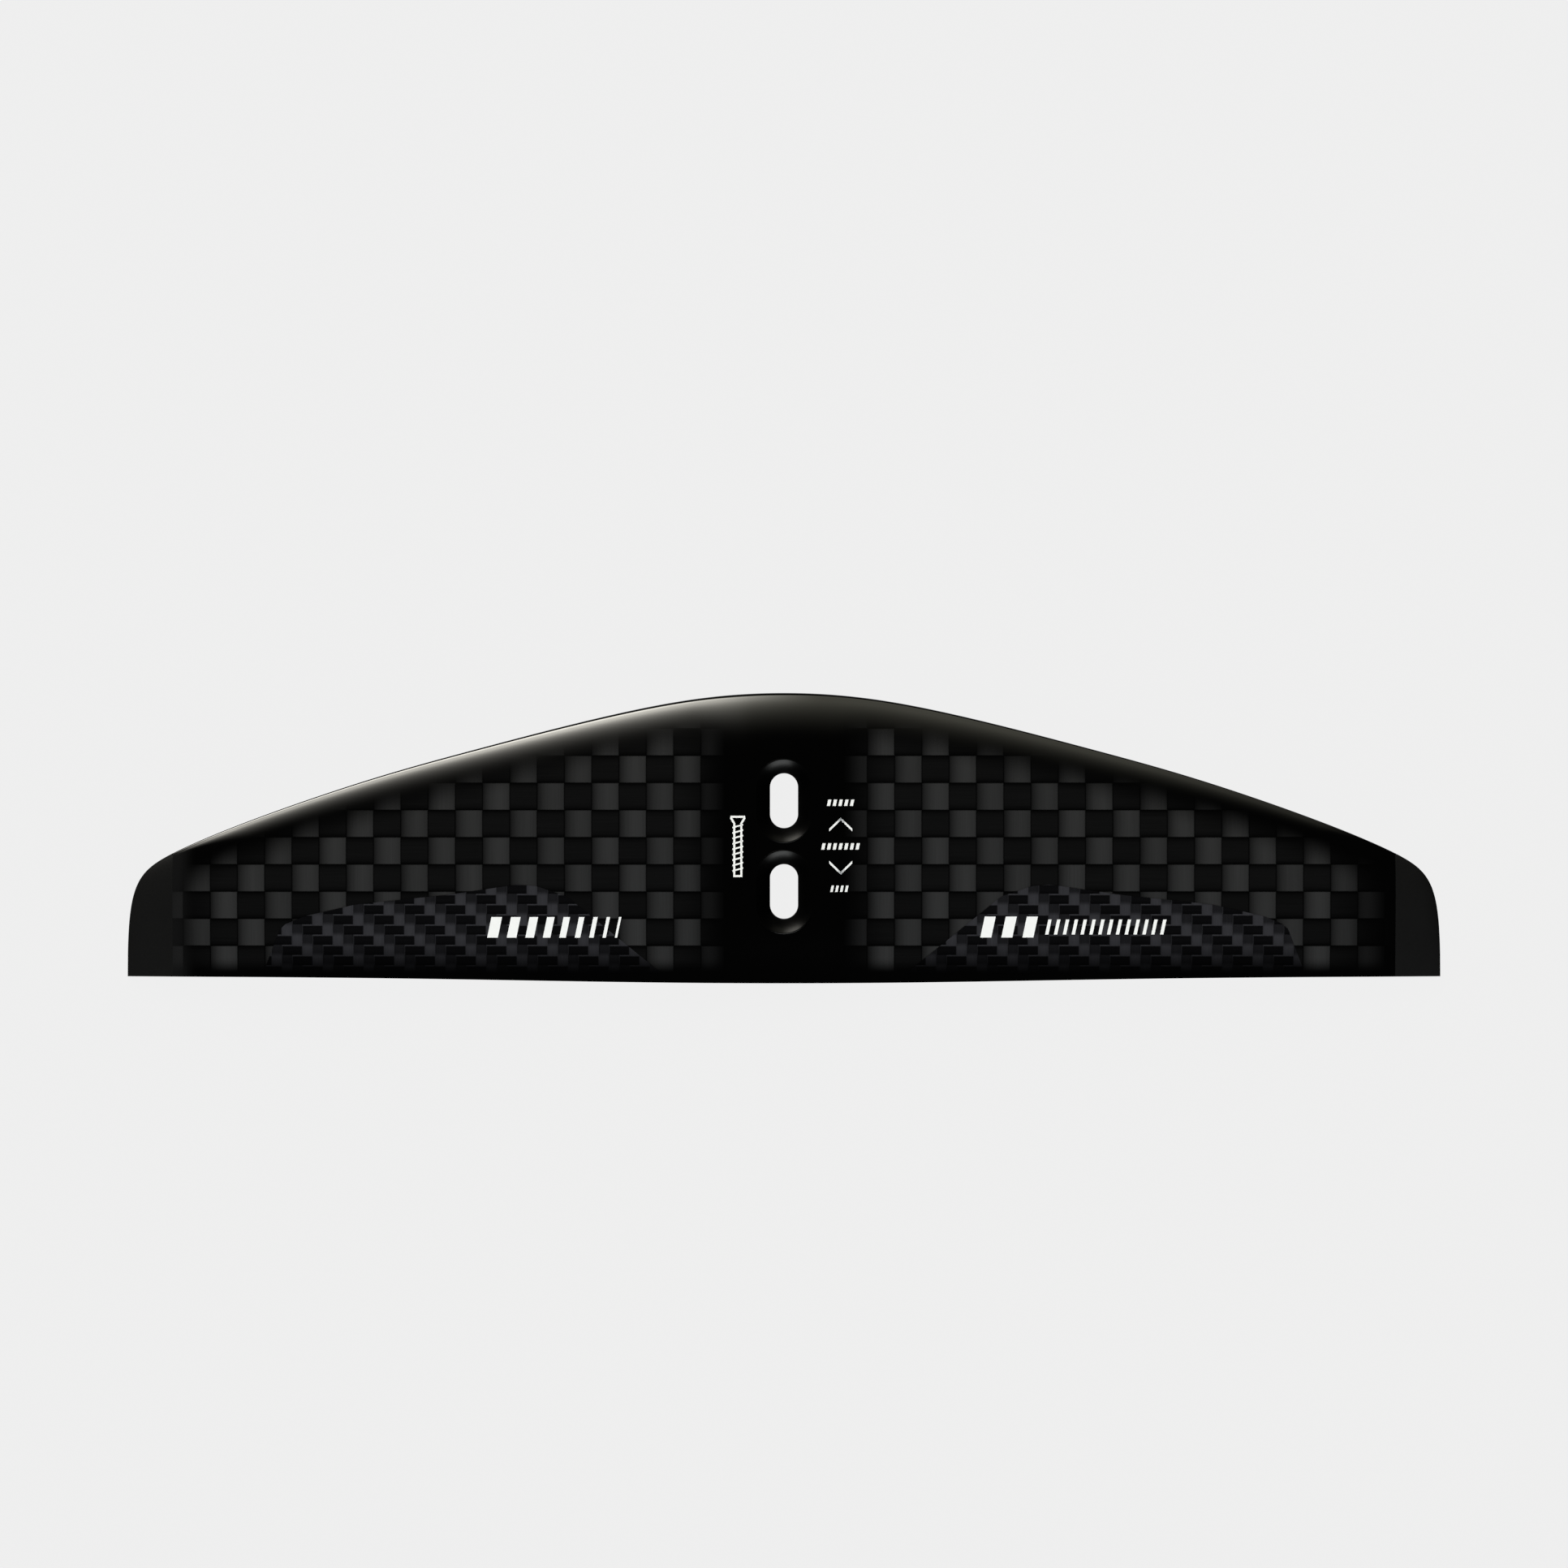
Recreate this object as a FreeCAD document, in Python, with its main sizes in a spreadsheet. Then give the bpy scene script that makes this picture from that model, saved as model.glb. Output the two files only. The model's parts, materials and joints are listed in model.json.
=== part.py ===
import FreeCAD, Part
import math
import os

import Sketcher
from FreeCAD import Placement, Rotation, Vector

# Rear wing (stabiliser) of a hydrofoil: a moulded carbon wing held on the tail of a fuselage by two
# countersunk M8 screws, which pass through fore-and-aft slots so that its trim can be set.
# Frame: +X to the right along the span, +Y towards the leading edge, +Z out of the face that the
# screws enter. The origin is midway between the two slots, on the flat seat that meets the fuselage.
# The wing is two laminate skins that meet in the parting surface at the nose and at the trailing
# edge, closed over a foam core, a root block and two spar caps, with moulded tips.

SIZES = {
    # plan form
    "span": 394.0,
    "root_chord": 87.0,
    "root_front": 45.9,  # slot centre to the foremost point of the leading edge
    # root hub
    "hub_top": 10.0,  # seat to the flat that the screw heads sink into
    "parting_height": 4.0,  # seat to the parting surface of the two skins
    "hub_half": 10.0,  # half width over which the hub keeps its full section
    "hub_blend": 17.0,  # width over which the hub fades into the wing section
    "seat_grind": 0.6,  # material ground off below the seat to make it flat
    # wing section, as shares of the local chord
    "crown_ratio": 0.062,
    "belly_ratio": 0.031,
    "tip_thinning": 0.2,
    "edge_thickness": 0.8,  # trailing edge
    # tips
    "tip_length": 13.8,
    "tip_round": 7.0,
    "tip_drop": 3.2,
    "droop_length": 37.0,
    "tip_land": 0.05,  # flat left at the very tip of the mould
    # laminate and core
    "skin": 0.9,
    "cavity_length": 330.0,
    "cap_thickness": 0.6,
    "cap_front": 31.0,
    "cap_root_width": 34.0,
    "cap_tip_width": 8.0,
    "cap_length": 322.0,
    "block_width": 38.0,
    # plies laid into the outer face
    "doubler_width": 36.0,
    "doubler_thickness": 0.4,
    "doubler_margin": 3.5,
    "patch_thickness": 0.25,
    # seat plate
    "seat_width": 20.0,
    "seat_length": 52.0,
    "seat_plate": 1.2,
    "seat_corner": 4.0,
    # slots and their liners, for M8 countersunk screws
    "slot_width": 8.4,
    "slot_length": 16.4,
    "slot_pitch": 27.2,
    "sink_width": 16.6,
    "liner_wall": 1.0,
    "liner_lip": 0.3,
    "lip_depth": 0.5,
    # fillers in the two seams
    "roving_radius": 0.7,
    "roving_inset": 2.6,
    "filler_length": 300.0,
    "strip_thickness": 0.4,
    "strip_width": 5.0,
    "strip_inset": 1.4,
}

# Leading edge of the right half: poles of one cubic B-spline from the nose to the corner of the tip
# and the trailing edge, as shares of the half span and of the root chord behind the nose.
NOSE_POLES = [
    (0.0, 0.0),
    (0.085, 0.0),
    (0.221, 0.045),
    (0.484, 0.203),
    (0.657, 0.309),
    (0.979, 0.574),
    (1.0, 0.666),
    (1.0, 0.977),
]
NOSE_KNOTS = [0.0, 0.2, 0.4, 0.6, 0.8, 1.0]
NOSE_MULTS = [4, 1, 1, 1, 1, 4]
# Trailing edge: one cubic Bezier curve in the same shares.
TAIL_POLES = [(0.0, 1.0), (0.335, 1.0), (0.457, 0.979), (1.0, 0.977)]
# Twill patch of the right half: its front edge from the outer to the inner end, in the same shares.
PATCH_POINTS = [
    (0.764, 0.802),
    (0.728, 0.768),
    (0.650, 0.728),
    (0.508, 0.694),
    (0.404, 0.659),
    (0.376, 0.665),
    (0.330, 0.700),
]
PATCH_ENDS = ((0.792, 0.965), (0.186, 0.965))

HUB_CROWN = (0.30, 0.76)  # chord shares between which the top of the hub is flat
HUB_BELLY = (0.22, 0.84)  # the same for its underside
CAVITY_CHORD = (0.08, 0.72)  # chord shares between which the skins stand apart
SECTION_POINTS = 24
HUB_STATIONS = 6
WING_STATIONS = 14
TIP_STATIONS = 7

doc = FreeCAD.newDocument("hydrofoil_rear_wing")
sheet = doc.addObject("Spreadsheet::Sheet", "sizes")
for row, (alias, value) in enumerate(SIZES.items(), 1):
    sheet.set(f"A{row}", alias)
    sheet.set(f"B{row}", str(value))
    sheet.setAlias(f"B{row}", alias)
doc.recompute()
parts = []


def size(alias):
    """Value of a cell of the size sheet."""
    return float(sheet.get(alias))


def cell(expression):
    """Expression in which $name stands for a cell of the size sheet."""
    return expression.replace("$", "<<sizes>>.")


sheet.Label = "sizes"

# ---------------------------------------------------------------- plan form and sections

half_span = size("span") / 2
chord_root = size("root_chord")


def plan_point(share):
    """Point of the plan from shares of the half span and of the root chord."""
    return Vector(share[0] * half_span, size("root_front") - share[1] * chord_root, 0)


nose = Part.BSplineCurve()
nose.buildFromPolesMultsKnots(
    [plan_point(p) for p in NOSE_POLES], NOSE_MULTS, NOSE_KNOTS, False, 3
)
tail = Part.BezierCurve()
tail.setPoles([plan_point(p) for p in TAIL_POLES])


def parameter_at(curve, x):
    """Parameter of a plan curve at distance x from the centre plane."""
    low, high = 0.0, 1.0
    for _ in range(50):
        middle = (low + high) / 2
        if curve.value(middle).x < abs(x):
            low = middle
        else:
            high = middle
    return (low + high) / 2


def y_on(curve, x):
    """Y of a plan curve at distance x from the centre plane."""
    return curve.value(parameter_at(curve, x)).y


def smooth(value):
    """0 below 0, 1 above 1, and a smooth step between."""
    value = min(1.0, max(0.0, value))
    return value * value * (3 - 2 * value)


def hub_share(x):
    """1 over the hub, fading to 0 where the plain wing section begins."""
    return 1 - smooth((abs(x) - size("hub_half")) / size("hub_blend"))


def parting(x):
    """Height of the parting surface, which droops towards the tips."""
    into = max(0.0, abs(x) - half_span + size("droop_length")) / size("droop_length")
    return size("parting_height") - size("tip_drop") * into * into


def tip_round(x):
    """Share of the full thickness, which falls along an ellipse at the tip."""
    into = max(0.0, abs(x) - half_span + size("tip_round")) / size("tip_round")
    return math.sqrt(max(0.0, 1 - into * into))


def wing_bulge(share):
    """Half thickness of a plain section over its largest value, at a share of the chord."""
    terms = 0.2969 * math.sqrt(share) - 0.1260 * share - 0.3516 * share**2
    return 10 * (terms + 0.2843 * share**3 - 0.1015 * share**4)


def hub_bulge(share, flat):
    """Half thickness of the hub over its largest value: a round nose, a flat and a ramp."""
    start, end = flat
    if share < start:
        return math.sqrt(1 - (1 - share / start) ** 2)
    if share <= end:
        return 1.0
    return (1 + math.cos(math.pi * (share - end) / (1 - end))) / 2


def rise(x, share, ratio, hub_height, flat):
    """Distance from the parting surface to the crown or to the belly."""
    chord = y_on(nose, x) - y_on(tail, x)
    thin = (1 - size("tip_thinning") * abs(x) / half_span) * tip_round(x)
    edge = size("edge_thickness") / 2 * share
    plain = edge + ratio * chord * thin * wing_bulge(share)
    hub = hub_bulge(share, flat)
    full = edge * (1 - hub) + hub_height * hub
    blend = hub_share(x)
    return (1 - blend) * plain + blend * full


def crown(x, share):
    """Height of the upper face."""
    height = size("hub_top") - size("parting_height")
    return parting(x) + rise(x, share, size("crown_ratio"), height, HUB_CROWN)


def belly(x, share, hub_depth):
    """Height of the lower face, for a hub that reaches hub_depth below the parting surface."""
    return parting(x) - rise(x, share, size("belly_ratio"), hub_depth, HUB_BELLY)


def along_nose(first, last, count):
    """X of count sections after first up to last, closest where the leading edge turns most."""
    start, end = parameter_at(nose, first), parameter_at(nose, last)
    return [nose.value(start + (end - start) * k / count).x for k in range(1, count + 1)]


def stations(reach):
    """X of every section from -reach to reach."""
    hub = size("hub_half") + size("hub_blend")
    right = [hub * k / HUB_STATIONS for k in range(1, HUB_STATIONS + 1)]
    right += along_nose(hub, reach, WING_STATIONS)
    return [-x for x in reversed(right)] + [0.0] + right


def spread(first, last):
    """Chord shares from first to last, closest together at the nose."""
    steps = range(SECTION_POINTS + 1)
    return [
        first + (last - first) * (1 - math.cos(math.pi / 2 * k / SECTION_POINTS)) for k in steps
    ]


def face_edge(x, shares, height):
    """Curve of one face of the section at x, from its front to its back."""
    front, back = y_on(nose, x), y_on(tail, x)
    points = [Vector(x, front - s * (front - back), height(x, s)) for s in shares]
    evenly = [k / SECTION_POINTS for k in range(SECTION_POINTS + 1)]
    curve = Part.BSplineCurve()
    if shares[0] == 0:
        rising = Vector(0, 0, points[1].z - points[0].z)
        ending = points[-1] - points[-2]
        curve.interpolate(
            Points=points, Parameters=evenly, InitialTangent=rising, FinalTangent=ending
        )
    else:
        curve.interpolate(Points=points, Parameters=evenly)
    return curve.toShape()


def line(start, end):
    """Straight edge between two points."""
    return Part.LineSegment(start, end).toShape()


def ends(edge):
    """First and last point of an edge."""
    return edge.valueAt(edge.FirstParameter), edge.valueAt(edge.LastParameter)


def half_form(height, reach):
    """Solid between the parting surface and one outer face."""
    wires = []
    for x in stations(reach):
        outer = face_edge(x, spread(0, 1), height)
        front, back = ends(outer)
        seam = Vector(x, back.y, parting(x))
        wires.append(Part.Wire([outer, line(back, seam), line(seam, front)]))
    return Part.makeLoft(wires, True, True)


def tip_form(flip):
    """Solid tip beyond the skins: the right one for a flip of 1, the left one for -1."""
    inner = half_span - size("tip_length")
    wires = []
    for x in [inner] + along_nose(inner, half_span - size("tip_land"), TIP_STATIONS):
        top = face_edge(flip * x, spread(0, 1), crown)
        bottom = face_edge(flip * x, spread(0, 1), lambda a, s: belly(a, s, 0))
        wires.append(Part.Wire([top, line(ends(top)[1], ends(bottom)[1]), bottom]))
    return Part.makeLoft(wires, True, True)


def cavity_form():
    """Solid that fills the wing between its skins."""
    skin = size("skin")
    hub_depth = size("parting_height") - size("seat_plate")
    wires = []
    for x in stations(size("cavity_length") / 2):
        top = face_edge(x, spread(*CAVITY_CHORD), lambda a, s: crown(a, s) - skin)
        bottom = face_edge(x, spread(*CAVITY_CHORD), lambda a, s: belly(a, s, hub_depth) + skin)
        (top_a, top_b), (low_a, low_b) = ends(top), ends(bottom)
        wires.append(Part.Wire([top, line(top_b, low_b), bottom, line(low_a, top_a)]))
    return Part.makeLoft(wires, True, True)


# ---------------------------------------------------------------- document helpers


def feature(name, shape):
    """Document object that holds a shape made by this script."""
    made = doc.addObject("Part::Feature", name)
    made.Shape = shape
    return made


def box(name, length, width, height, x="0", y="0", z="0"):
    """Block with its sizes and the place of its low corner bound to the sheet."""
    made = doc.addObject("Part::Box", name)
    bound = {"Length": length, "Width": width, "Height": height}
    bound.update({"Placement.Base.x": x, "Placement.Base.y": y, "Placement.Base.z": z})
    for prop, expression in bound.items():
        made.setExpression(prop, cell(expression))
    return made


def common(name, first, second):
    """What two objects share."""
    made = doc.addObject("Part::Common", name)
    made.Base, made.Tool = first, second
    return made


def cut(name, base, *tools):
    """The base without the tools, taken away one after the other."""
    for number, tool in enumerate(tools, 1):
        last = number == len(tools)
        made = doc.addObject("Part::Cut", name if last else f"{name}_cut_{number}")
        made.Base, made.Tool = base, tool
        base = made
    return base


def fuse(name, *shapes):
    """Several objects as one."""
    made = doc.addObject("Part::MultiFuse", name)
    made.Shapes = list(shapes)
    return made


def copy_of(name, source, move_z):
    """Copy of an object's shape, moved along Z by a distance."""
    made = doc.addObject("Part::Feature", name)
    doc.recompute()
    made.Shape = source.Shape.translated(Vector(0, 0, move_z))
    return made


def part(made, label):
    """Marks an object as a sub-part of the wing and names its file."""
    made.Label = label
    parts.append(made)
    return made


def slot_sketch(name, radius, height, place):
    """Closed slot along Y whose radius, height and centre are cell expressions."""
    sketch = doc.addObject("Sketcher::SketchObject", name)
    r = sheet.evalExpression(cell(radius))
    half = (size("slot_length") - size("slot_width")) / 2
    up, axis = Vector(0, half, 0), Vector(0, 0, 1)
    sketch.addGeometry(
        [
            Part.ArcOfCircle(Part.Circle(up, axis, r), 0, math.pi),
            Part.LineSegment(Vector(-r, half, 0), Vector(-r, -half, 0)),
            Part.ArcOfCircle(Part.Circle(-up, axis, r), math.pi, 2 * math.pi),
            Part.LineSegment(Vector(r, -half, 0), Vector(r, half, 0)),
        ],
        False,
    )
    for number in range(4):
        following = (number + 1) % 4
        sketch.addConstraint(Sketcher.Constraint("Tangent", number, 2, following, 1))
    sketch.addConstraint(Sketcher.Constraint("Symmetric", 0, 3, 2, 3, -1, 1))
    sketch.addConstraint(Sketcher.Constraint("Vertical", 1))
    radius_at = sketch.addConstraint(Sketcher.Constraint("Radius", 0, r))
    run_at = sketch.addConstraint(Sketcher.Constraint("DistanceY", 2, 3, 0, 3, 2 * half))
    sketch.renameConstraint(radius_at, "end_radius")
    sketch.renameConstraint(run_at, "centre_distance")
    sketch.setExpression("Constraints.end_radius", cell(radius))
    sketch.setExpression("Constraints.centre_distance", cell("$slot_length - $slot_width"))
    sketch.setExpression("Placement.Base.y", cell(place))
    sketch.setExpression("Placement.Base.z", cell(height))
    return sketch


def slot_solid(name, place, levels):
    """Solid with straight walls through slot outlines at several (radius, height) levels."""
    made = doc.addObject("Part::Loft", name)
    made.Sections = [
        slot_sketch(f"{name}_outline_{number}", radius, height, place)
        for number, (radius, height) in enumerate(levels, 1)
    ]
    made.Solid = True
    made.Ruled = True
    return made


# ---------------------------------------------------------------- slot liners

SLEEVE = "$slot_width / 2 + $liner_wall"
LIP = "$sink_width / 2 + $liner_lip"
SLOT = "$slot_width / 2"
SINK = "$sink_width / 2"
FLANGE = f"$hub_top - $lip_depth - ({LIP}) + ({SLEEVE})"
OUTER_LEVELS = [(SLEEVE, "0"), (SLEEVE, FLANGE), (LIP, "$hub_top - $lip_depth"), (LIP, "$hub_top")]
INNER_LEVELS = [(SLOT, "0"), (SLOT, f"$hub_top - {SINK} + {SLOT}"), (SINK, "$hub_top")]
SEAT_LEVELS = [(SLEEVE, "-$hub_top"), *OUTER_LEVELS[1:3], (LIP, "2 * $hub_top")]

liner_seats = []
for end, place in (("front", "$slot_pitch / 2"), ("rear", "-$slot_pitch / 2")):
    outside = slot_solid(f"{end}_blank", place, OUTER_LEVELS)
    inside = slot_solid(f"{end}_opening", place, INNER_LEVELS)
    part(cut(f"{end}_liner", outside, inside), f"{end}_slot_liner")
    liner_seats.append(slot_solid(f"{end}_liner_seat", place, SEAT_LEVELS))
slots_tool = fuse("liner_seats", *liner_seats)

# ---------------------------------------------------------------- seat plate


def seat_plate_body(name):
    """Wear plate under the hub, a rounded rectangle."""
    body = doc.addObject("PartDesign::Body", name)
    sketch = body.newObject("Sketcher::SketchObject", "seat_outline")
    plane = [f for f in body.Origin.OriginFeatures if f.Role == "XY_Plane"][0]
    sketch.AttachmentSupport = [(plane, "")]
    sketch.MapMode = "FlatFace"
    x, y = size("seat_width") / 2, size("seat_length") / 2
    corners = [Vector(-x, -y, 0), Vector(x, -y, 0), Vector(x, y, 0), Vector(-x, y, 0)]
    for number in range(4):
        sketch.addGeometry(Part.LineSegment(corners[number], corners[(number + 1) % 4]), False)
    for number in range(4):
        joint = Sketcher.Constraint("Coincident", number, 2, (number + 1) % 4, 1)
        sketch.addConstraint(joint)
    for number in (0, 2):
        sketch.addConstraint(Sketcher.Constraint("Horizontal", number))
        sketch.addConstraint(Sketcher.Constraint("Vertical", number + 1))
    sketch.addConstraint(Sketcher.Constraint("Symmetric", 0, 1, 2, 1, -1, 1))
    wide = sketch.addConstraint(Sketcher.Constraint("DistanceX", 0, 1, 0, 2, 2 * x))
    long = sketch.addConstraint(Sketcher.Constraint("DistanceY", 1, 1, 1, 2, 2 * y))
    for index, label, alias in ((wide, "width", "seat_width"), (long, "length", "seat_length")):
        sketch.renameConstraint(index, label)
        sketch.setExpression(f"Constraints.{label}", cell(f"${alias}"))
    blank = body.newObject("PartDesign::Pad", "seat_pad")
    blank.Profile = sketch
    blank.setExpression("Length", cell("$seat_plate"))
    doc.recompute()
    upright = [
        f"Edge{n}"
        for n, edge in enumerate(blank.Shape.Edges, 1)
        if abs(edge.tangentAt(edge.FirstParameter).z) > 0.9
    ]
    corner = body.newObject("PartDesign::Fillet", "seat_corners")
    corner.Base = (blank, upright)
    corner.setExpression("Radius", cell("$seat_corner"))
    doc.recompute()
    return body


plate = seat_plate_body("seat_blank")
part(cut("seat_plate_cut", plate, slots_tool), "seat_plate")

# ---------------------------------------------------------------- moulded forms

skin_reach = half_span - size("tip_length")
ground_depth = size("parting_height") + size("seat_grind")
upper_form = feature("upper_form", half_form(crown, skin_reach))
lower_raw = feature("lower_raw", half_form(lambda x, s: belly(x, s, ground_depth), skin_reach))
ground = box(
    "ground_off", "$span", "2 * $root_chord", "$seat_grind * 4", "-$span / 2", "-$root_chord",
    "-$seat_grind * 4",
)
lower_form = cut("lower_form", lower_raw, ground)
cavity = feature("cavity", cavity_form())
for side, flip in (("left", -1), ("right", 1)):
    part(feature(f"{side}_tip", tip_form(flip)), f"tip_{side}")

# ---------------------------------------------------------------- fillers of the two seams


def seam_line(curve, inset, reach):
    """Curve in the parting plane that follows a plan curve at a distance inside it."""
    points = []
    for x in stations(reach):
        step = 0.05
        near, far = (y_on(curve, abs(x) + step), y_on(curve, max(0.0, abs(x) - step)))
        slope = (near - far) / (step + min(step, abs(x))) * (1 if x > 0 else -1 if x < 0 else 0)
        inward = Vector(slope, -1, 0).normalize() * inset
        points.append(Vector(x, y_on(curve, x), size("parting_height")) + inward)
    spline = Part.BSplineCurve()
    spline.interpolate(Points=points)
    return spline.toShape()


def roving_shape():
    """Round bundle of fibre that fills the nose between the skins."""
    path = Part.Wire([seam_line(nose, size("roving_inset"), size("filler_length") / 2)])
    start = path.Edges[0]
    ring = Part.Circle(
        start.valueAt(start.FirstParameter),
        start.tangentAt(start.FirstParameter),
        size("roving_radius"),
    )
    return path.makePipeShell([Part.Wire([ring.toShape()])], True, True)


def strip_shape():
    """Flat strip that fills the trailing edge between the skins."""
    inset, width = -size("strip_inset"), size("strip_width")
    back = seam_line(tail, inset, size("filler_length") / 2)
    front = seam_line(tail, inset - width, size("filler_length") / 2)
    (back_a, back_b), (front_a, front_b) = ends(back), ends(front)
    outline = Part.Wire([back, line(back_b, front_b), front, line(front_a, back_a)])
    drop = Vector(0, 0, -size("strip_thickness") / 2)
    return Part.Face(outline).translated(drop).extrude(drop * -2)


roving = part(feature("roving", roving_shape()), "leading_edge_roving")
strip = part(feature("strip", strip_shape()), "trailing_edge_strip")

# ---------------------------------------------------------------- plies laid into the outer face


def layer(name, form, plan, thickness):
    """Top layer of a form, as thick as its ply, inside a plan prism."""
    column = common(f"{name}_column", form, plan)
    below = copy_of(f"{name}_below", column, -thickness)
    return cut(f"{name}_layer", column, below)


def patch_prism(side):
    """Upright prism over one twill patch, with a curved front edge and straight cuts."""
    flip = 1 if side == "right" else -1
    over = FreeCAD.Matrix(flip, 0, 0, 0, 0, 1, 0, 0, 0, 0, 1, 0, 0, 0, 0, 1)
    front = Part.BSplineCurve()
    front.interpolate(Points=[over.multVec(plan_point(p)) for p in PATCH_POINTS])
    outer, inner = (over.multVec(plan_point(p)) for p in PATCH_ENDS)
    edge = front.toShape()
    start, end = ends(edge)
    wire = Part.Wire([edge, line(end, inner), line(inner, outer), line(outer, start)])
    height = 2 * size("hub_top")
    return Part.Face(wire).extrude(Vector(0, 0, height))


patches = []
for side in ("left", "right"):
    prism = feature(f"{side}_patch_prism", patch_prism(side))
    made = layer(f"{side}_patch", upper_form, prism, size("patch_thickness"))
    patches.append(part(made, f"twill_patch_{side}"))

doubler_plan = box(
    "doubler_plan", "$doubler_width", "$root_chord - 2 * $doubler_margin", "4 * $hub_top",
    "-$doubler_width / 2", "$root_front - $root_chord + $doubler_margin", "0",
)
doubler_ply = layer("doubler", upper_form, doubler_plan, size("doubler_thickness"))
doubler = part(cut("doubler_slotted", doubler_ply, slots_tool), "centre_doubler")

# ---------------------------------------------------------------- spar caps, core and root block


def cap_prism(name):
    """Upright prism over the spar, wide at the root and narrow at both ends."""
    reach_x, front = size("cap_length") / 2, size("cap_front")
    tip_y = y_on(nose, reach_x) - 0.34 * (y_on(nose, reach_x) - y_on(tail, reach_x))
    tip_half = size("cap_tip_width") / 2
    low = front - size("cap_root_width")
    root_half = size("block_width") / 2
    points = [
        (-reach_x, tip_y + tip_half), (-root_half, front), (root_half, front),
        (reach_x, tip_y + tip_half), (reach_x, tip_y - tip_half), (root_half, low),
        (-root_half, low), (-reach_x, tip_y - tip_half),
    ]
    wire = Part.makePolygon([Vector(x, y, -size("hub_top")) for x, y in points + points[:1]])
    return feature(name, Part.Face(wire).extrude(Vector(0, 0, 3 * size("hub_top"))))


spar_plan = cap_prism("spar_plan")
spar_column = common("spar_column", cavity, spar_plan)
caps = {}
for place, sign in (("top", -1), ("bottom", 1)):
    other = copy_of(f"cap_{place}_rest", spar_column, sign * size("cap_thickness"))
    blank = cut(f"cap_{place}_blank", spar_column, other)
    caps[place] = part(cut(f"cap_{place}", blank, slots_tool), f"spar_cap_{place}")
core_form = cut("core_form", cavity, doc.getObject("cap_top_blank"), doc.getObject("cap_bottom_blank"))

deep = ("2 * $root_chord", "4 * $hub_top")
corner = ("-$root_chord", "-2 * $hub_top")
block_zone = box("block_zone", "$block_width", *deep, "-$block_width / 2", *corner)
block = part(
    cut("block", common("block_blank", core_form, block_zone), slots_tool), "root_block"
)
core_zones = {
    "left": box("left_core_zone", "($span - $block_width) / 2", *deep, "-$span / 2", *corner),
    "right": box("right_core_zone", "($span - $block_width) / 2", *deep, "$block_width / 2", *corner),
}
for side, zone in core_zones.items():
    part(common(f"{side}_core", core_form, zone), f"foam_core_{side}")

# ---------------------------------------------------------------- skins

skin_tools = [cavity, slots_tool, roving, strip]
part(cut("upper_skin", upper_form, *skin_tools, *patches, doubler_ply), "top_skin")
part(cut("lower_skin", lower_form, *skin_tools, plate), "bottom_skin")

# ---------------------------------------------------------------- check and write

doc.recompute()
for thing in doc.Objects:
    if {"Invalid", "Error"} & set(thing.State):
        raise RuntimeError(f"{thing.Name} failed: {thing.State}")
os.makedirs("parts", exist_ok=True)
for made in parts:
    shape = made.Shape
    if shape.isNull() or not shape.isValid() or not shape.Solids:
        raise RuntimeError(f"{made.Label} has no valid solid")
    shape.exportStep(os.path.join("parts", made.Label + ".step"))
    print(f"{made.Label}: {len(shape.Solids)} solid, {shape.Volume:.1f} mm3, {shape.BoundBox}")
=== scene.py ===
"""Looks of a hydrofoil's rear wing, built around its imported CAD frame.

The wing lies flat, nose towards +Y, with its screw slots facing up. Its skins, plies, tips and slot
liners are smooth shells made by Geometry Nodes; its core, spar and seat plate are the CAD nodes.
"""

import json
import logging
import math
from dataclasses import asdict, dataclass, field, fields
from enum import Enum
from typing import Callable, Iterable, Sequence, Union

import bpy
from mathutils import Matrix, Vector

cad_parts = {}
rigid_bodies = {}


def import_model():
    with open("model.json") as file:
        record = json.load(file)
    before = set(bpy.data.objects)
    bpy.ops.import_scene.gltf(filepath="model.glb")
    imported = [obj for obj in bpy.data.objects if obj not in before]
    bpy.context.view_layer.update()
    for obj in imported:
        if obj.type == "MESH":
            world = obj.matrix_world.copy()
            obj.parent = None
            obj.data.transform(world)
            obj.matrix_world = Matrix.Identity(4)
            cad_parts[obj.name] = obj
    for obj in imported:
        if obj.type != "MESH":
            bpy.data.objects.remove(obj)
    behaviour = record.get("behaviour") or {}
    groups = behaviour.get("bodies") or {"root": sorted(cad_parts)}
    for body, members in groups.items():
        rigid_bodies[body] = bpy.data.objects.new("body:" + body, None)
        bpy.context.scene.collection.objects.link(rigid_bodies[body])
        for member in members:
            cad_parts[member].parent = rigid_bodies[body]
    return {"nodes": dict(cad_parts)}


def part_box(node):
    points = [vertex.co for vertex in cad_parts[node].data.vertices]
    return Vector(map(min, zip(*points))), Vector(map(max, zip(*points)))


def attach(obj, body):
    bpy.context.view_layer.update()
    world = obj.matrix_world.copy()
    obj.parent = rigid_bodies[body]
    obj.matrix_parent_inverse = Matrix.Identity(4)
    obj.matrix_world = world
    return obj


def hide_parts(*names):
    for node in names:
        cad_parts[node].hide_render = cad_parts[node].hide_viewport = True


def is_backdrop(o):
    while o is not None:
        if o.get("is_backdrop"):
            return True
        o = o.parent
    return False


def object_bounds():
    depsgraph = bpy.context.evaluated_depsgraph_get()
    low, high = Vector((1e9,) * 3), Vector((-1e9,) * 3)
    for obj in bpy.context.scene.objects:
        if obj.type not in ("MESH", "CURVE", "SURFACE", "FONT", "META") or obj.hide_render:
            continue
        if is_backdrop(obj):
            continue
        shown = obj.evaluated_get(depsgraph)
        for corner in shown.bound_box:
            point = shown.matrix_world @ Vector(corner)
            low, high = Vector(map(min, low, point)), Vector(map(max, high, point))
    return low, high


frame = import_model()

MM = 0.001
LOG = logging.getLogger("rear_wing")
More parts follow.
